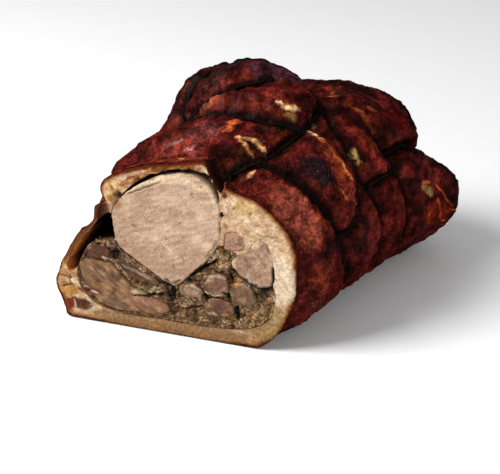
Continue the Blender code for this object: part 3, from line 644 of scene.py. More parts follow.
def skin_point(angle, y):
    """Place of the skin (mm, design) and the distance to the nearest twine."""
    x, z, mid_x, mid_z = bare_section(angle, y)
    swell = np.zeros_like(y)
    for at, along, half, length, height in SWELLINGS:
        turn = np.degrees(turn_between(angle, math.radians(at)))
        swell += height * np.exp(-((turn / half) ** 2) - ((y - along) / length) ** 2)
    z = np.where((z < 0) & (swell < 1), 0, z)
    out_x, out_z = x - mid_x, z - mid_z
    size = np.maximum(np.hypot(out_x, out_z), 1e-6)
    fade = np.clip(size / 30, 0, 1)
    channel, near = twine_channels(angle, y)
    step = (swell - channel) * fade
    x = x + out_x / size * step
    z = np.maximum(z + out_z / size * step, 0)
    share = np.clip((y - CUT_Y) / RIM_REACH, 0, 1)
    share = share * share * (3 - 2 * share)
    cut_x, cut_z = on_rim(x, z)
    x, z = cut_x + (x - cut_x) * share, np.maximum(cut_z + (z - cut_z) * share, 0)
    lean = LEAN * np.clip(1 - (y - CUT_Y) / SLANT_REACH, 0, 1)
    return np.stack([x, y + x * lean, z], -1), near


def outline(shape, grow, count):
    """Closed outline of a muscle in the plane of the cut, grown outwards: (across, up) in mm."""
    line = closed_curve(shape, count)
    way = np.roll(line, -1, 0) - np.roll(line, 1, 0)
    way /= np.linalg.norm(way, axis=1, keepdims=True)
    x, z = line[:, 0], line[:, 1]
    turn = np.sign(np.sum(x * np.roll(z, -1) - z * np.roll(x, -1)))
    return x + way[:, 1] * turn * grow, z - way[:, 0] * turn * grow


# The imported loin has 34 points round it, and its place says how far the whole was moved
LOIN_EDGE = outline(LOIN_SHAPE, 0.0, 34)
LOIN_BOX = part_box("loin")
SHIFT = np.array([
    LOIN_BOX[0].x / MM - LOIN_EDGE[0].min(),
    LOIN_BOX[0].y / MM - (CUT_Y + LEAN * LOIN_EDGE[0].min()),
    LOIN_BOX[0].z / MM - LOIN_EDGE[1].min(),
])


# ---- Making and finishing meshes ----
def rough(points, size, octaves=3, seed=0.0):
    """Uneven values from about -1 to 1, with lumps of about `size` mm."""
    scaled = (np.asarray(points) / size + seed * 17.31).reshape(-1, 3)
    values = [noise.fractal(p, 1.0, 2.0, octaves) for p in scaled.tolist()]
    return np.array(values).reshape(np.shape(points)[:-1])


def crumbs(points, size, seed=0.0):
    """Lumps of about `size` mm: how far inside its lump a place is, and the lump's own tone."""
    scaled = (np.asarray(points) / size + seed * 13.7).reshape(-1, 3)
    found = [noise.voronoi(p) for p in scaled.tolist()]
    inside = np.array([near[1] - near[0] for near, _ in found])
    tone = np.array([noise.cell(spots[0] * 7.3) for _, spots in found])
    return inside.reshape(np.shape(points)[:-1]), tone.reshape(np.shape(points)[:-1])


def bump(value, low, high):
    """Smooth step from 0 at low to 1 at high."""
    t = np.clip((value - low) / (high - low), 0, 1)
    return t * t * (3 - 2 * t)


def rgb(code):
    """Linear colour of a hex code, as an array of three."""
    return np.array(linear(code)[:3])


def over(base, colour, amount):
    """A colour laid over others: amount 0 leaves them, 1 covers them."""
    colour = rgb(colour) if isinstance(colour, str) else colour
    return base + (colour - base) * np.asarray(amount)[..., None]


def tinted(points, tones, size, seed=0.0):
    """Uneven colour between a dark, a usual and a light tone, in lumps of `size` mm."""
    dark, usual, light = (rgb(tone) for tone in tones)
    share = np.clip(1.5 * rough(points, size, 4, seed), -1, 1)[..., None]
    return usual + np.where(share < 0, usual - dark, light - usual) * share


def marked(colour, marks, across, along):
    """Lay a table of marks over colours; returns them and how far the marks rise."""
    rise = np.zeros_like(across)
    for code, strength, half, height, *points in marks:
        points = np.array(points, float)
        soft = 0.3 + 0.22 * half + 0.2 * max(half - 4, 0)
        low, high = points.min(0) - half - soft, points.max(0) + half + soft
        near = (across > low[0]) & (across < high[0]) & (along > low[1]) & (along < high[1])
        if not near.any():
            continue
        a, b = across[near], along[near]
        gap = np.full(a.shape, 1e9)
        parts = list(zip(points, points[1:])) or [(points[0], points[0])]
        for i, (start, stop) in enumerate(parts):
            run = stop - start
            share = np.clip(((a - start[0]) * run[0] + (b - start[1]) * run[1])
                            / max(run @ run, 1e-9), 0, 1)
            way = abs(2 * (i + share) / len(parts) - 1) if len(points) > 1 else 0
            off = np.hypot(a - start[0] - run[0] * share, b - start[1] - run[1] * share)
            gap = np.minimum(gap, off + 0.5 * half * way**4)
        amount = strength * bump(half - gap, -soft, soft)
        colour[near] = over(colour[near], code, amount)
        rise[near] += height * amount
    return colour, rise


def on_cut(points, tones, size, stretch=(1, 1, 1), inwards=None):
    """Colour and rise of a cut surface at points across, up; inwards is mm from the skin."""
    flat = np.stack([points[..., 0], 0 * points[..., 0], points[..., 1]], -1)
    colour = tinted(flat * stretch, tones[:3], size, tones[3] + size)
    wander = [0.8 * rough(flat, 4.0, 3, seed) for seed in (21, 22)]
    if inwards is not None:
        deep = (inwards + 0.9 * rough(flat, 5, 3, 12)) / (1 + 0.9 * bump(-flat[..., 2], -26, -6))
        depths, shades = [depth for depth, _ in CRUST], np.array([rgb(code) for _, code in CRUST])
        crust = np.stack([np.interp(deep, depths, shades[:, k]) for k in range(3)], -1)
        colour = over(colour, crust, bump(-deep, -5.0, -2.6))
    colour, rise = marked(colour, CUT_MARKS, points[..., 0] + wander[0], points[..., 1] + wander[1])
    return colour * CUT_SHADE, rise


def grid_normals(points):
    """Outward direction of a sheet of points, rows by columns, whose columns close."""
    across = np.roll(points, -1, 1) - np.roll(points, 1, 1)
    way = np.cross(across, np.gradient(points, axis=0))
    return way / np.maximum(np.linalg.norm(way, axis=-1, keepdims=True), 1e-9)


def rolled_sheet(bm, points, paint=None, closed_along=False, capped=False):
    """Add a sheet of cells, rolled up so that its first and last columns meet, to a mesh.

    points is rows x columns x 3 in mm; paint is named values or colours of the same rows and
    columns. The ends are poles, or meet each other, or are capped flat.
    """
    rows, columns = points.shape[:2]
    down = rows if closed_along else rows - 1
    sheet = bmesh.new()
    bmesh.ops.create_grid(sheet, x_segments=columns, y_segments=down, size=0.5)
    mesh = bpy.data.meshes.new("sheet")
    sheet.to_mesh(mesh)
    flat = np.empty(len(mesh.vertices) * 3)
    mesh.vertices.foreach_get("co", flat)
    flat = flat.reshape(-1, 3)
    column = np.rint((flat[:, 0] + 0.5) * columns).astype(int) % columns
    row = np.rint((flat[:, 1] + 0.5) * down).astype(int) % rows
    placed = (points[row, column] + SHIFT) * MM
    mesh.vertices.foreach_set("co", placed.ravel())
    paint = dict(paint or {})
    if paint:
        paint["whole"] = np.ones((rows, columns))
    for name, values in paint.items():
        coloured = values.ndim == 3
        layer = mesh.attributes.new(name, "FLOAT_COLOR" if coloured else "FLOAT", "POINT")
        values = values[row, column]
        if coloured:
            values = np.hstack([values, np.ones((len(values), 1))])
        layer.data.foreach_set("color" if coloured else "value", values.astype(np.float32).ravel())
    sheet.clear()
    sheet.from_mesh(mesh)
    bmesh.ops.remove_doubles(sheet, verts=sheet.verts, dist=1e-6)
    if capped:
        bmesh.ops.holes_fill(sheet, edges=[e for e in sheet.edges if e.is_boundary], sides=0)
        bmesh.ops.triangulate(sheet, faces=[f for f in sheet.faces if len(f.verts) > 4])
    bmesh.ops.recalc_face_normals(sheet, faces=sheet.faces)
    sheet.to_mesh(mesh)
    sheet.free()
    bm.from_mesh(mesh)
    bpy.data.meshes.remove(mesh)


def sheet_object(name, points, paint=None, **ends):
    """One rolled sheet as an object."""
    bm = bmesh.new()
    rolled_sheet(bm, points, paint, **ends)
    return mesh_object(name, bm)


def mesh_object(name, bm):
    """An object of a finished mesh, linked to the scene."""
    mesh = bpy.data.meshes.new(name)
    bm.to_mesh(mesh)
    bm.free()
    obj = bpy.data.objects.new(name, mesh)
    bpy.context.scene.collection.objects.link(obj)
    return obj


def carve(target, tools):
    """Cut a closed piece by several others at once, and remove them."""
    group = bpy.data.collections.new("tools")
    for tool in tools:
        bpy.context.scene.collection.objects.unlink(tool)
        group.objects.link(tool)
    bpy.context.scene.collection.children.link(group)
    modifier = target.modifiers.new("carve", "BOOLEAN")
    modifier.operation = "DIFFERENCE"
    modifier.operand_type = "COLLECTION"
    modifier.collection = group
    modifier.solver = "MANIFOLD"
    bpy.context.view_layer.update()
    graph = bpy.context.evaluated_depsgraph_get()
    mesh = bpy.data.meshes.new_from_object(target.evaluated_get(graph))
    target.modifiers.clear()
    target.data = mesh
    for tool in list(group.objects):
        bpy.data.objects.remove(tool)
    bpy.data.collections.remove(group)
    if len(mesh.polygons) < 100:
        raise RuntimeError(f"carving {target.name} left nothing")
    # corners made by the cut have no colour yet: they take their neighbours'
    bm = bmesh.new()
    bm.from_mesh(mesh)
    layers = bm.verts.layers
    whole, tint = layers.float["whole"], layers.float_color["tint"]
    values = [layers.float[name] for name in ("cut", "char_and_shade", "bubbly")]
    for new in [v for v in bm.verts if v[whole] < 0.99]:
        near = [e.other_vert(new) for e in new.link_edges]
        near = [v for v in near if v[whole] > 0.99]
        if near:
            new[tint] = sum((v[tint] for v in near), Vector((0, 0, 0, 0))) / len(near)
            for value in values:
                new[value] = sum(v[value] for v in near) / len(near)
        else:
            new[tint] = linear("#3a2416")
    bm.to_mesh(mesh)
    bm.free()


def finish_piece(obj, material, nodes, sharp=50.0):
    """Keep a piece inside the frame's box, smooth it, and hide the parts that it stands for."""
    mesh = obj.data
    low, high = (np.array(v) for v in CAD_BOX)
    co = np.empty(len(mesh.vertices) * 3)
    mesh.vertices.foreach_get("co", co)
    co = np.clip(co.reshape(-1, 3), low, high)
    mesh.vertices.foreach_set("co", co.ravel())
    mesh.materials.clear()
    mesh.materials.append(material)
    mesh.shade_smooth()
    mesh.set_sharp_from_angle(angle=math.radians(sharp))
    mesh.update()
    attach(obj, "root")
    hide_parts(*nodes)


# ---- Materials ----
def add(tree, kind, inputs=None, output=0, **settings):
    """Add a node, with its settings and its inputs set or linked; returns one of its outputs."""
    node = tree.nodes.new("ShaderNode" + kind)
    for key, value in settings.items():
        setattr(node, key, value)
    for key, value in (inputs or {}).items():
        if isinstance(value, bpy.types.NodeSocket):
            tree.links.new(value, node.inputs[key])
        else:
            node.inputs[key].default_value = value
    return node.outputs[output]


def new_material(name, settings):
    """A principled material; returns it, its tree, its shader and Object coordinates in mm."""
    material = bpy.data.materials.new(name)
    material.use_nodes = True
    tree = material.node_tree
    shader = tree.nodes["Principled BSDF"]
    for key, value in settings.items():
        shader.inputs[key].default_value = value
    place = add(tree, "TexCoord", output="Object")
    at = add(tree, "Mapping", {"Vector": place, "Scale": (1 / MM,) * 3})
    return material, tree, shader, at


def grain(tree, at, size, low=0.36, high=0.64, detail=4.0):
    """A noise with lumps of `size` mm, stretched to 0..1 between low and high."""
    texture = add(tree, "TexNoise", {"Vector": at, "Scale": 1.0 / size, "Detail": detail})
    return add(tree, "MapRange", {"Value": texture, "From Min": low, "From Max": high})


def pits(tree, at, size, low=0.08, high=0.3):
    """Small round spots about `size` mm apart: 1 at their middle, 0 outside."""
    texture = add(tree, "TexVoronoi", {"Vector": at, "Scale": 1.0 / size})
    return add(tree, "MapRange", {"Value": texture, "From Min": high, "From Max": low})


def layered(tree, base, layers):
    """Colours laid one over another: each layer is (factors of how much, colour, way of mixing).

    A noise laid with OVERLAY darkens and lightens what is under it without changing its mean.
    """
    colour = base
    for factors, laid, *way in layers:
        amount = factors[0]
        for factor in factors[1:]:
            amount = add(tree, "Math", {0: amount, 1: factor}, operation="MULTIPLY")
        laid = linear(laid) if isinstance(laid, str) else laid
        colour = add(tree, "Mix", {0: amount, 6: colour, 7: laid}, 2, data_type="RGBA",
                     blend_type=way[0] if way else "MIX")
    return colour


def bumped(tree, shader, reliefs):
    """Fine relief under the mesh's own: (height socket, mm, mask) added up."""
    total = 0.0
    for height, size, *mask in reliefs:
        for factor in mask:
            height = add(tree, "Math", {0: height, 1: factor}, operation="MULTIPLY")
        total = add(tree, "Math", {0: height, 1: size * MM, 2: total}, operation="MULTIPLY_ADD")
    tree.links.new(add(tree, "Bump", {"Height": total, "Distance": 1.0}), shader.inputs["Normal"])


def roasted_rind():
    """Pork rind roasted whole: lacquered by its own fat, dark red-brown, blistered and scorched.

    A thin glossy film of fat gives sharp warm glints; beads of crackling and pores break it up.
    """
    s = bpy.context.scene.porchetta
    material, tree, shader, at = new_material("roasted_pork_rind", {
        "Specular IOR Level": 0.0, "Coat Weight": 0.045, "Coat Roughness": 0.35, "Coat IOR": 1.45,
        "Subsurface Weight": 0.03, "Subsurface Radius": (1.0, 0.35, 0.2),
        "Subsurface Scale": 0.002})
    tint = add(tree, "Attribute", attribute_name="tint", output="Color")
    cut, char_and_shade, bubbly = (add(tree, "Attribute", attribute_name=name, output="Fac")
                         for name in ("cut", "char_and_shade", "bubbly"))
    skin = add(tree, "MapRange", {"Value": cut, "To Min": 1.0, "To Max": 0.0})
    patch, small, fine = grain(tree, at, 6.5), grain(tree, at, 2.2), grain(tree, at, 0.8)
    beads, pores, specks_and_glints = (pits(tree, at, 2.0, 0.08, 0.6), pits(tree, at, 2.9, 0.06, 0.24),
                            pits(tree, at, 5.3, 0.03, 0.11))
    colour = layered(tree, tint, [
        ((skin, 0.55), patch, "OVERLAY"),
        ((skin, 0.45), small, "OVERLAY"),
        ((skin, 0.22), fine, "OVERLAY"),
        ((skin, bubbly, 0.4), beads, "OVERLAY"),
        ((skin, bubbly, beads, 0.16), s.blister_colour),
        ((skin, pores, patch, 0.8), "#0c0403"),
        # bright orange specks: browned fat, and painted glints on the skin
        ((skin, specks_and_glints, patch, 0.8), s.speck_and_glint_colour),
        # near-black along the channels: char, and painted shade
        ((skin, char_and_shade, 0.95), s.char_and_shade_colour),
        ((cut, 0.18), fine, "OVERLAY"),
        ((cut, 0.25), small, "OVERLAY"),
    ])
    tree.links.new(colour, shader.inputs["Base Color"])
    bumped(tree, shader, [(pores, -0.3), (small, 0.22), (patch, 0.4), (beads, 0.45, bubbly)])
    return material


def cut_meat(name, fibre=3.0, stretch=(1.0, 1.0, 1.0), tilt=0.6, strong=0.3, wet=0.08):
    """Roast pork cut across the grain: matt and fibrous, with small pores and a little juice."""
    material, tree, shader, at = new_material(name, {
        "Roughness": 0.55, "Specular IOR Level": 0.2, "Coat Weight": wet, "Coat Roughness": 0.3,
        "Subsurface Weight": 0.1, "Subsurface Radius": (1.0, 0.5, 0.3), "Subsurface Scale": 0.003})
    turned = add(tree, "Mapping", {"Vector": at, "Rotation": (0, tilt, 0)})
    drawn = add(tree, "Mapping", {"Vector": turned, "Scale": stretch})
    strands, fine = grain(tree, drawn, fibre, 0.34, 0.66, 5.0), grain(tree, at, 1.0)
    pores, spots = pits(tree, at, 2.3, 0.05, 0.24), grain(tree, at, 12, 0.46, 0.58)
    tint = add(tree, "Attribute", attribute_name="tint", output="Color")
    colour = layered(tree, tint, [((strong,), strands, "OVERLAY"), ((0.16,), fine, "OVERLAY"),
                                  ((pores, spots, 0.75), "#6a4a34")])
    tree.links.new(colour, shader.inputs["Base Color"])
    bumped(tree, shader, [(strands, 0.3), (fine, -0.12), (pores, -0.6, spots)])
    return material


def herb_filling():
    """Chopped herbs, garlic and crumbed meat pressed between the muscles: crumbly and moist."""
    s = bpy.context.scene.porchetta
    material, tree, shader, at = new_material("chopped_herb_filling", {
        "Roughness": 0.6, "Specular IOR Level": 0.08, "Coat Weight": 0.03, "Coat Roughness": 0.3})
    small, fine = grain(tree, at, 2.2), grain(tree, at, 0.9)
    leaf = grain(tree, at, 2.4, 0.58, 0.64, 2.0)
    tint = add(tree, "Attribute", attribute_name="tint", output="Color")
    colour = layered(tree, tint, [((0.6,), small, "OVERLAY"), ((0.5,), fine, "OVERLAY"),
                                  ((leaf, 0.6), s.herb_colour)])
    tree.links.new(colour, shader.inputs["Base Color"])
    bumped(tree, shader, [(fine, 0.3), (small, 0.4), (leaf, 0.3)])
    return material


def burnt_twine():
    """Cotton butcher's twine, laid from three strands, charred and soaked with fat in the oven."""
    s = bpy.context.scene.porchetta
    material, tree, shader, at = new_material("charred_cotton_twine", {
        "Roughness": 0.75, "Specular IOR Level": 0.04})
    fibre, patch = grain(tree, at, 0.6), grain(tree, at, 12, 0.55, 0.72, 3.0)
    colour = layered(tree, s.twine_colour, [((0.7,), fibre, "OVERLAY"), ((patch, 0.4), "#3c2014")])
    tree.links.new(colour, shader.inputs["Base Color"])
    bumped(tree, shader, [(fibre, 0.2)])
    return material


def pale_floor():
    """Matt white painted board."""
    s = bpy.context.scene.porchetta
    material, tree, shader, at = new_material("matt_white_board", {"Roughness": 0.9})
    speck = grain(tree, at, 40, 0.3, 0.7)
    tree.links.new(layered(tree, s.floor_colour, [((speck, 0.04), "#dcdcdc")]),
                   shader.inputs["Base Color"])
    return material


# ---- Pieces ----
# Rings of a muscle: down its side as shares of its length, and over its rounded rim
SIDE_SHARES = (0.02, 0.05, 0.1, 0.2, 0.35, 0.5, 0.65, 0.8, 0.92, 1.0)
RIM_SHARES = np.array([0.7, 0.42, 0.2, 0.06, 0.0])
# Rings of a bed, mm back from the cut, and of the rind's cut face, mm in from its rim
BED_BACKS = np.array([-30, -4, -1.5, 0, 0.8, 1.8, 3, 4.5, 6.5, 9, 13, 20, 34, 60, 100])
FACE_INWARDS = np.concatenate([[0.35, 0.9], np.arange(1.7, 47, 1.1), [52, 64, 200]])


def rind_paint(tint, cut=0.0, char_and_shade=0.0, bubbly=0.0):
    """The named values that the rind's material reads, for every point of a sheet."""
    values = {"cut": cut, "char_and_shade": char_and_shade, "bubbly": bubbly}
    return {"tint": tint} | {name: np.broadcast_to(float(value) if np.isscalar(value) else value,
                                                   tint.shape[:2]).copy()
                             for name, value in values.items()}


def side_rows(mid, way, length, start, steps):
    """Rings of a muscle's side, from its face back to its inner end."""
    rows = []
    for share in steps:
        back = start + (length - start) * share
        deep = min(max(back, 0.0) / length, 1.0)
        flat = mid + way * (1 - (1 - NARROW) * deep**2)
        lean = LEAN * max(0.0, 1 - max(back, 0.0) / SLANT_REACH)
        rows.append(np.stack([flat[:, 0], CUT_Y + back + flat[:, 0] * lean, flat[:, 1]], -1))
    return rows


def ragged_outline(shape, grow, around, ragged):
    """Middle of a muscle and the way from it to each point of its uneven edge."""
    x, z = outline(shape, grow, around)
    mid = np.mean(np.array(shape, float), axis=0)
    way = np.stack([x, z], -1) - mid
    far = np.linalg.norm(way, axis=-1, keepdims=True)
    uneven = ragged * rough(np.stack([x, z, 0 * x], -1), 5.0, 3, mid[0])[:, None]
    return mid, way * (1 + uneven / far), far[:, 0]


def muscle_sheet(shape, length, proud, around, tones, size, relief, edge=1.6, pitch=0.9,
                 stretch=(1, 1, 1), ragged=0.5, grow=0.0):
    """A muscle: its cut face with a rounded rim, and its side back to its inner end."""
    mid, way, far = ragged_outline(shape, grow, around, ragged)
    reach = float(far.mean())
    shares = np.concatenate([np.linspace(0, 1 - edge / reach, max(int(reach / pitch), 6)),
                             1 - edge / reach * RIM_SHARES])
    flat = mid + way * shares[:, None, None]
    inside = (1 - shares)[:, None] * far
    inset = np.clip(edge - inside, 0, edge)
    colour, rise = on_cut(flat, tones, size, stretch)
    uneven = (relief(flat[..., 0], flat[..., 1]) + rise) * np.clip(inside / 1.6, 0, 1)
    back = -proud + edge - np.sqrt(np.maximum(edge**2 - inset**2, 0)) - uneven
    # the outer 0.8 mm of the face a little darker: painted shade on its rounded rim
    colour = over(colour, colour * 0.85, bump(-inside, -0.8, -0.2) * 0.2)
    face = np.stack([flat[..., 0], CUT_Y + back + flat[..., 0] * LEAN, flat[..., 1]], -1)
    side = side_rows(mid, way, length, edge - proud, SIDE_SHARES)
    side.append(np.broadcast_to(side[-1].mean(0), side[-1].shape))
    # the side, hidden in its bed, darkens towards near black going back: painted shade
    deep = [over(colour[-1], "#2a180c", np.full(around, min(1.0, 0.5 + i * 0.3)))
            for i in range(len(side))]
    return np.concatenate([face, side]), np.concatenate([colour, deep])


def bed(shape, length, grow, around, wall="#86664a", deep="#2a180d", reach=5.0, ragged=0.5,
        shadow_band=None):
    """Closed cutter for the place where a muscle or a hollow lies.

    Its wall has one colour at the cut and a darker one `reach` mm in: painted shade deeper in the
    hollow.
    It turns black between the two heights given last: a painted shadow at the top of the hollow.
    """
    mid, way, _ = ragged_outline(shape, grow, around, ragged)
    length += grow
    backs = np.append(BED_BACKS[BED_BACKS < length - 2.0], length)
    rows = np.stack(side_rows(mid, way, length, 0.0, backs / length))
    colour = np.broadcast_to(rgb(wall), rows.shape).copy()
    colour *= (1 + 0.35 * rough(rows, 3.0, 3, 5))[..., None]
    # darker deeper in: painted shade in the hollow
    colour = over(colour, deep, np.broadcast_to(bump(backs, 0.3, reach)[:, None], rows.shape[:2]))
    # black band: painted shadow
    if shadow_band:
        colour = over(colour, "#0a0403", bump(rows[..., 2], *shadow_band))
    return sheet_object("bed", rows, rind_paint(colour, cut=1.0), capped=True)


WELL_SEEN = 0.87          # share of the skin's columns that lie over the top and the two sides
UNDER = (-40, 210)        # degrees where the underside ends and starts, with the other columns
END_ROWS, LONG_ROWS = 24, 156
SKIN_TONES = ("#1e0909", "#40110e", "#62211a")


class PORCHETTA_OT_rind(bpy.types.Operator):
    """Make the roasted rind with the layer of fat under it"""
    bl_idname = "porchetta.rind"
    bl_label = "Rind and fat"

    def skin_grid(self, count):
        """Angles and y of the skin's cells, from the far end to the cut."""
        share = np.linspace(0, 1, count, endpoint=False)
        under = (share - WELL_SEEN) / (1 - WELL_SEEN)
        angle = np.where(share < WELL_SEEN, UNDER[0] + share / WELL_SEEN * (UNDER[1] - UNDER[0]),
                         UNDER[1] + under * (UNDER[0] + 360 - UNDER[1]))
        start, exponent = END_ROUND
        round_end = np.sin(np.linspace(math.pi / 2, 0, END_ROWS)) ** (2 / exponent)
        rows = np.concatenate([start + (END_Y - start) * round_end,
                               np.linspace(start, CUT_Y, LONG_ROWS)[1:]])
        return np.meshgrid(np.radians(angle), rows)

    def skin_colour(self, s, points, angles, along, near):
        """Colour of the skin and rise of its marks: rind, then marks, then browned lips."""
        degrees = np.degrees(angles)
        turned = np.radians(np.where(degrees > SEAM, degrees - 360, degrees)) * GIRTH
        wander = [1.5 * rough(points, 6.0, 3, seed) for seed in (31, 32)]
        marks = [(code, strength, half, rise, *((math.radians(a) * GIRTH, b) for a, b in path))
                 for code, strength, half, rise, *path in SKIN_MARKS]
        colour, rise = marked(tinted(points, SKIN_TONES, 15, 3), marks, turned + wander[0],
                              along + wander[1])
        colour *= np.clip(1 + 0.55 * rough(points, 6.0, 4, 13), 0.45, 1.8)[..., None]
        lip = np.exp(-(((near - 6.5) / 2.2) ** 2)) * bump(rough(points, 10, 3, 9), 0.0, 0.4)
        colour = over(colour, s.brown_colour[:3], 0.35 * lip)
        rim = bump(-np.abs(along - CUT_Y), -2.5, 0.0)
        return over(colour, "#2c0c07", 0.6 * rim) * SKIN_SHADE, rise

    def skin_states(self, points, angles, along, near):
        """How black and how bubbly the skin is, 0 to 1: char and painted shade in the twine's
        channels, burnt patches, beads by the cut.
        """
        # beads come in patches, most of them by the cut and low on the right at the far end
        rear = 0.5 * bump(along, 70, 90) * bump(-np.degrees(angles), -40, -20)
        bubbly = bump(rough(points, 16, 3, 15) - 0.12 + 0.6 * bump(-along, 110, 120)
                      - 0.3 * bump(along, -20, 10) + rear, 0.0, 0.4)
        # black along the twine: char, and painted shade in the channels, in a band wider on the
        # right side
        width = 3.0 + 1.8 * bump(np.cos(angles), -0.2, 0.5)
        char_and_shade = (np.exp(-((near / width) ** 2)) * 1.15
                + 0.35 * bump(rough(points, 20, 3, 11), 0.15, 0.6))
        return np.clip(char_and_shade, 0, 1), bubbly

    def skin_relief(self, s, points, near):
        """Height of the skin's lumps, wrinkles, grain and blisters over its form."""
        lumps = 1.3 * rough(points, 24, 3, 1) + 0.9 * rough(points, 9, 3, 2)
        wrinkle = rough(points * (1, 0.4, 1), 5.5, 3, 3) * np.exp(-((near / 16) ** 2))
        blister = bump(rough(points, 5.0, 2, 5), 0.12, 0.5)
        return (lumps + 1.1 * wrinkle + 0.45 * rough(points, 3.6, 2, 4) * s.wrinkle_depth
                + 0.6 * blister - 1.3 * np.exp(-((near / 2.6) ** 2)))

    def skin_sheet(self, s):
        """Skin from the far end to the cut: points, colours, black places (char and painted shade in
        the channels) and bubbly places.
        """
        angles, along = self.skin_grid(s.rind_columns)
        points, near = skin_point(angles, along)
        out = grid_normals(points)
        # the rows at the roll's middle tell which side is outwards
        middle = np.array([points[..., 0].mean(), 0, points[..., 2].mean()])
        if ((points - middle) * out)[60:120].sum() < 0:
            out = -out
        colour, rise = self.skin_colour(s, points, angles, along, near)
        char_and_shade, bubbly = self.skin_states(points, angles, along, near)
        # the relief fades towards the floor and towards the cut
        fade = bump(along, CUT_Y, CUT_Y + 5.0) * 0.7 + 0.3
        height = (self.skin_relief(s, points, near) + rise) * bump(points[..., 2], 0.5, 9.0) * fade
        points = points + out * height[..., None]
        points[..., 2] = np.maximum(points[..., 2], 0)
        points[0] = points[0].mean(0)
        return points, colour, char_and_shade, bubbly

    def cut_rings(self, rim, skin_edge):
        """The cut inwards from its rim: a rounded corner, then rings to the middle."""
        inwards = FACE_INWARDS
        way = rim[:, (0, 2)] - FACE_CENTRE
        far = np.linalg.norm(way, axis=1)
        flat = FACE_CENTRE + way * np.maximum(1 - inwards[:, None, None] / far[:, None], 0)
        colour, rise = on_cut(flat, TONES["rind_and_fat"], 7.0, inwards=inwards[:, None])
        place = np.stack([flat[..., 0], CUT_Y + flat[..., 0] * LEAN, flat[..., 1]], -1)
        colour[0] = over(colour[0], skin_edge, np.full(len(rim), 0.6))
        dip = -0.5 * np.exp(-inwards / 0.8) + 0.35 * bump(inwards, 1.0, 4.0)
        uneven = (0.7 * rough(place, 16, 3, 7) + 0.35 * rough(place, 4, 3, 8)) * 0.8 + rise
        place[..., 1] -= dip[:, None] * 0.6 + uneven * bump(inwards, 0.5, 3.0)[:, None]
        return place, colour

    def execute(self, context):
        s = context.scene.porchetta
        skin, skin_colour, char_and_shade, bubbly = self.skin_sheet(s)
        face, face_colour = self.cut_rings(skin[-1], skin_colour[-1])
        skin_paint = rind_paint(skin_colour, 0.0, char_and_shade, bubbly)
        face_paint = rind_paint(face_colour, 1.0)
        face_paint["cut"][0] = 0.4
        obj = sheet_object("roasted_rind", np.concatenate([skin, face]), {
            name: np.concatenate([skin_paint[name], face_paint[name]]) for name in skin_paint})
        tools = [bed(TROUGH_SHAPE, TROUGH_LENGTH, 0.001, 300),
                 bed(VOID_SHAPE, 45.0, 0.3, 180, "#a5642e", "#2a1008", 16.0, 0.4, (56, 74)),
                 bed(ROOF_GAP_SHAPE, 22.0, 0.001, 240, "#6b4426", "#0d0705", 4.0),
                 bed(TEAR_SHAPE, 9.0, 0.001, 60, "#4a1c10", "#1a0a06", 5.0, 0.4),
                 bed(LOIN_SHAPE, LOIN_LENGTH, GAP, 240, "#8a6a4c", "#2a180d")]
        tools += [bed(shape, length, GAP, around, wall, ragged=RAGGED)
                  for _, node, shape, length, _, around, wall in MUSCLES
                  if node in ("flank_muscle", "flank_end", "belly_lean", "upper_lean")]
        carve(obj, tools)
        finish_piece(obj, roasted_rind(), ["rind_and_fat"])
        return {"FINISHED"}


def loin_relief(x, z):
    """Height of the loin's cut face: faint diagonal grain and pits."""
    points = np.stack([x, z, 0 * x], -1)
    turned = np.stack([x * 0.85 + z * 0.5, (z * 0.85 - x * 0.5) * 0.35, 0 * x], -1)
    return (0.5 * rough(points, 18, 2, 3) + 0.28 * rough(turned, 3.0, 3, 4)
            + 0.12 * rough(points, 2.5, 2, 5))


def lean_relief(x, z):
    """Height of a small muscle's cut face."""
    points = np.stack([x, z, 0 * x], -1)
    return 0.6 * rough(points, 9, 3, 6) + 0.4 * rough(points, 3, 3, 7)


class PORCHETTA_OT_loin(bpy.types.Operator):
    """Make the round loin in the middle of the cut"""
    bl_idname = "porchetta.loin"
    bl_label = "Loin"

    def execute(self, context):
        points, tint = muscle_sheet(LOIN_SHAPE, LOIN_LENGTH, 0.0, 300, TONES["loin"], 13.0,
                                    loin_relief, 0.9, 0.8, (0.55, 1, 1))
        obj = sheet_object("loin_meat", points, {"tint": tint})
        meat = cut_meat("sliced_roast_loin", 2.6, (0.3, 1.0, 1.0), 0.42, 0.2)
        finish_piece(obj, meat, ["loin"], 60)
        return {"FINISHED"}


class PORCHETTA_OT_lean(bpy.types.Operator):
    """Make the flank, belly and filling muscles of the cut"""
    bl_idname = "porchetta.lean"
    bl_label = "Lean muscles"

    def execute(self, context):
        pink = cut_meat("sliced_roast_belly_lean", 2.4)
        dark = cut_meat("sliced_roast_flank", 2.6, (0.25, 1.0, 1.0), -0.55, 0.35)
        brown = cut_meat("sliced_roast_filling_meat", 2.2)
        for name, node, shape, length, proud, around, _ in MUSCLES:
            rounded = 0.5 if "lean" in node else 0.8
            points, tint = muscle_sheet(shape, length, proud, around, TONES[node], 6.5, lean_relief,
                                        rounded, ragged=RAGGED)
            obj = sheet_object(name, points, {"tint": tint})
            meat = dark if node.startswith("flank") else pink if "lean" in node else brown
            finish_piece(obj, meat, [node], 60)
        return {"FINISHED"}


def herb_relief(x, z):
    """Height of the crumbled filling, set back beside the muscles."""
    points = np.stack([x, 0 * x, z], -1)
    inside, tone = crumbs(points + 0.8 * rough(points, 4, 2, 14)[..., None], 5.5, 2)
    return 1.6 * bump(inside, 0.0, 0.3) - 1.3 + 0.7 * (tone - 0.5) + 0.6 * rough(points, 2.6, 2, 9)


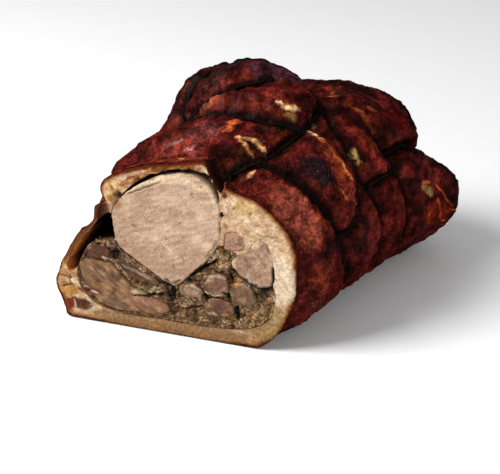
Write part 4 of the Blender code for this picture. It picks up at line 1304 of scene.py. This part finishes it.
class PORCHETTA_OT_herbs(bpy.types.Operator):
    """Make the chopped herb filling between the muscles"""
    bl_idname = "porchetta.herbs"
    bl_label = "Herb filling"

    def execute(self, context):
        points, tint = muscle_sheet(TROUGH_SHAPE, TROUGH_LENGTH, -1.0, 440,
                                    TONES["herb_stuffing"], 7.0, herb_relief, 1.0, 0.95, grow=-0.3)
        obj = sheet_object("herb_filling", points, rind_paint(tint))
        tools = [bed(LOIN_SHAPE, LOIN_LENGTH, GAP, 240, "#4a2f1c", "#150b06")]
        tools += [bed(shape, length, GAP, around, wall, ragged=RAGGED)
                  for _, _, shape, length, _, around, wall in MUSCLES]
        carve(obj, tools)
        finish_piece(obj, herb_filling(), ["herb_stuffing"])
        return {"FINISHED"}


def on_rind(tree, point):
    """Nearest place of the rind's mesh to a point of the design (mm), and its outward direction."""
    return tree.find_nearest(Vector((point + SHIFT) * MM))[:2]


def neighbours(line, closed):
    """The points after and before each point of a line."""
    ahead, behind = np.roll(line, -1, 0), np.roll(line, 1, 0)
    if not closed:
        ahead[-1], behind[0] = line[-1], line[0]
    return ahead, behind


def laid_line(tree, angle, y, radius, closed):
    """Twine drawn tight over the skin, sunk a little into it (mm, design)."""
    points, _ = skin_point(angle, y)
    line = []
    for p in points:
        spot, normal = on_rind(tree, p)
        out = radius * (0.1 + 0.5 * max(-normal.z - 0.5, 0.0))
        line.append(np.array(spot + normal * out * MM) / MM - SHIFT)
    line = np.array(line)
    # pull it tight in four rounds, lifting it out of the rind again each time
    for _ in range(4):
        ahead, behind = neighbours(line, closed)
        line = 0.5 * line + 0.25 * (ahead + behind)
        for i, p in enumerate(line):
            spot, normal = on_rind(tree, p)
            rise = (Vector((p + SHIFT) * MM) - spot).dot(normal) / MM
            if rise < -radius * 0.1:
                line[i] = p + np.array(normal) * (-radius * 0.1 - rise)
    return line


def resampled(line, step, closed):
    """The line again, with points one step apart."""
    if closed:
        line = np.vstack([line, line[:1]])
    gaps = np.linalg.norm(np.diff(line, axis=0), axis=1)
    run = np.concatenate([[0], np.cumsum(gaps)])
    count = max(int(run[-1] / step), 4)
    at = np.linspace(0, run[-1], count + 1)
    even = np.stack([np.interp(at, run, line[:, k]) for k in range(3)], -1)
    return even[:-1] if closed else even


def strand_sheet(line, radius, closed, pitch=7.0, sides=12):
    """Three strands laid together round a line, as a sheet of points."""
    count = len(line)
    ahead, behind = neighbours(line, closed)
    along = ahead - behind
    along /= np.maximum(np.linalg.norm(along, axis=1, keepdims=True), 1e-9)
    # a direction across the line, carried along it without twisting
    side = np.cross(along[0], (0.3, 0.2, 1.0))
    side /= np.linalg.norm(side)
    sides_way = []
    for a in along:
        side = side - a * side.dot(a)
        side /= np.linalg.norm(side)
        sides_way.append(side)
    sides_way = np.array(sides_way)
    up = np.cross(along, sides_way)
    step = np.linalg.norm(np.diff(line, axis=0), axis=1).mean()
    turns = count * step / pitch
    turn_total = 2 * math.pi * round(turns) if closed else 2 * math.pi * turns
    slip = 0.0                      # how far that direction has turned when a loop closes
    if closed:
        first = sides_way[0] - along[-1] * sides_way[0].dot(along[-1])
        slip = math.atan2(first.dot(up[-1]), first.dot(sides_way[-1]))
    share = np.arange(count) / (count if closed else count - 1)
    around = np.linspace(0, 2 * math.pi, sides, endpoint=False)
    phase = around[None] - turn_total * share[:, None]
    size = radius * (0.80 + 0.24 * np.abs(np.cos(1.5 * phase)))
    if not closed:
        from_end = np.minimum(np.arange(count), count - 1 - np.arange(count))
        size = size * np.clip(from_end / 2.0, 0, 1)[:, None]
    face = around[None] + slip * share[:, None]
    return (line[:, None] + size[..., None] * (np.cos(face)[..., None] * sides_way[:, None]
                                              + np.sin(face)[..., None] * up[:, None]))


TWINE_STEP = 1.3          # mm between the rings of a strand


class PORCHETTA_OT_twine(bpy.types.Operator):
    """Lay the charred butcher's twine in its channels, with its knots"""
    bl_idname = "porchetta.twine"
    bl_label = "Twine"

    def knot(self, tree, end, radius):
        """An overhand knot lying on the rind at an end of a run."""
        spot, normal = on_rind(tree, end)
        t = np.linspace(0, 2 * math.pi, 44, endpoint=False)
        line = np.stack([np.sin(t) + 2 * np.sin(2 * t), np.cos(t) - 2 * np.cos(2 * t),
                         -np.sin(3 * t)], -1) * (0.95, 0.95, 0.9)
        turn = np.array(normal.to_track_quat("Z", "Y").to_matrix())
        centre = np.array(spot + normal * radius * 1.1 * MM) / MM - SHIFT
        return strand_sheet(line @ turn.T + centre, radius * 0.9, True, 6.0, 8)

    def execute(self, context):
        radius = context.scene.porchetta.twine_radius / MM
        rind = bpy.data.objects["roasted_rind"]
        tree = BVHTree.FromObject(rind, context.evaluated_depsgraph_get())
        bm = bmesh.new()
        around = np.linspace(0, 2 * math.pi, 260, endpoint=False)
        for _, values in LOOPS:
            line = laid_line(tree, around, loop_y(values, around), radius, True)
            strand = strand_sheet(resampled(line, TWINE_STEP, True), radius, True)
            rolled_sheet(bm, strand, closed_along=True)
        for _, points in RUNS:
            line = laid_line(tree, *run_points(points, 2.5), radius, False)
            rolled_sheet(bm, strand_sheet(resampled(line, TWINE_STEP, False), radius, False))
            for end in (line[0], line[-1]):
                rolled_sheet(bm, self.knot(tree, end, radius), closed_along=True)
        obj = mesh_object("twine_net", bm)
        finish_piece(obj, burnt_twine(), ["twine"], 75)
        return {"FINISHED"}


VIEW_AROUND, VIEW_UP = 29, 24             # degrees
VIEW_DISTANCE, VIEW_HEIGHT = 1.05, 0.023  # metres
LIGHTS = (                                # name, place, size, share of the key light's power
    ("key", (-0.9, -1.0, 1.3), 0.9, 1.0),
    ("fill", (1.4, -1.2, 0.8), 1.2, 0.25),
)


class PORCHETTA_OT_stage(bpy.types.Operator):
    """Make the floor, the light and the camera"""
    bl_idname = "porchetta.stage"
    bl_label = "Stage"

    def execute(self, context):
        s = context.scene.porchetta
        bm = bmesh.new()
        bmesh.ops.create_grid(bm, x_segments=1, y_segments=1, size=6.0)
        floor = mesh_object("floor", bm)
        floor.data.materials.append(pale_floor())
        world = bpy.data.worlds.new("studio")
        world.use_nodes = True
        sky = world.node_tree.nodes["Background"].inputs
        sky["Color"].default_value, sky["Strength"].default_value = (1, 1, 1, 1), s.sky_strength
        context.scene.world = world
        context.scene.view_settings.view_transform = "Standard"
        target = Vector((0, 0, VIEW_HEIGHT)) + Vector(SHIFT * MM)
        for name, place, size, share in LIGHTS:
            light = bpy.data.lights.new(name, "AREA")
            light.size, light.energy = size, s.key_power * share
            lamp = bpy.data.objects.new(name, light)
            lamp.location = place
            lamp.rotation_euler = (target - lamp.location).to_track_quat("-Z", "Y").to_euler()
            context.scene.collection.objects.link(lamp)
        camera = bpy.data.cameras.new("camera")
        camera.lens, camera.sensor_width = s.lens, 36.0
        viewer = bpy.data.objects.new("camera", camera)
        across, up = math.radians(VIEW_AROUND), math.radians(VIEW_UP)
        back = Vector((math.sin(across) * math.cos(up), -math.cos(across) * math.cos(up),
                       math.sin(up)))
        viewer.location = target + back * VIEW_DISTANCE
        viewer.rotation_euler = back.to_track_quat("Z", "Y").to_euler()
        context.scene.collection.objects.link(viewer)
        context.scene.camera = viewer
        return {"FINISHED"}


def colour(name, description, code):
    """A colour setting with its default."""
    return FloatVectorProperty(name=name, description=description, default=linear(code),
                               subtype="COLOR", size=4, min=0.0, max=1.0)


class PorchettaSettings(bpy.types.PropertyGroup):
    """Sizes and colours of the roll"""
    rind_columns: IntProperty(name="Rind columns", description="Cells round the rind",
                              default=400, min=60, max=480)
    wrinkle_depth: FloatProperty(name="Grain of the rind", description="Height of its small bumps",
                                 default=1.0, min=0.0, max=3.0)
    twine_radius: FloatProperty(name="Twine radius", description="Half the thickness of the twine",
                                default=0.0011, min=0.0005, max=0.003, unit="LENGTH")
    # specks of browned fat, which also serve as painted glints
    speck_and_glint_colour: colour("Fat specks", "Specks of browned fat on the skin", "#c0602c")
    blister_colour: colour("Blisters", "Tips of the beads of crackling", "#96401f")
    brown_colour: colour("Browned rind", "Orange-brown ridges", "#7e3519")
    # colour of the char, and of the painted shade in the twine's channels
    char_and_shade_colour: colour("Char", "Burnt skin", "#0a0403")
    herb_colour: colour("Herbs", "Chopped herbs", "#2b2614")
    twine_colour: colour("Twine", "Charred twine", "#0e0a07")
    floor_colour: colour("Floor", "Floor", "#f4f4f4")
    key_power: FloatProperty(name="Key light", description="Power of the main light", default=46.0,
                             min=0.0, max=500.0, unit="POWER")
    sky_strength: FloatProperty(name="Sky", description="Strength of the even light", default=0.36,
                                min=0.0, max=5.0)
    lens: FloatProperty(name="Lens", description="Focal length in millimetres", default=100.0,
                        min=10.0, max=300.0)


OPERATORS = (PORCHETTA_OT_rind, PORCHETTA_OT_loin, PORCHETTA_OT_lean, PORCHETTA_OT_herbs,
             PORCHETTA_OT_twine, PORCHETTA_OT_stage)


class PORCHETTA_PT_panel(bpy.types.Panel):
    """Porchetta roll"""
    bl_idname = "PORCHETTA_PT_panel"
    bl_label = "Porchetta roll"
    bl_space_type = "VIEW_3D"
    bl_region_type = "UI"
    bl_category = "Porchetta"

    def draw(self, context):
        for operator in OPERATORS:
            self.layout.operator(operator.bl_idname)
        for name in PorchettaSettings.__annotations__:
            self.layout.prop(context.scene.porchetta, name)


CLASSES = (PorchettaSettings,) + OPERATORS + (PORCHETTA_PT_panel,)


def register():
    for cls in CLASSES:
        bpy.utils.register_class(cls)
    bpy.types.Scene.porchetta = PointerProperty(type=PorchettaSettings)


def unregister():
    del bpy.types.Scene.porchetta
    for cls in reversed(CLASSES):
        bpy.utils.unregister_class(cls)


def main():
    register()
    for operator in OPERATORS:
        group, name = operator.bl_idname.split(".")
        getattr(getattr(bpy.ops, group), name)()


if __name__ == "__main__":
    main()
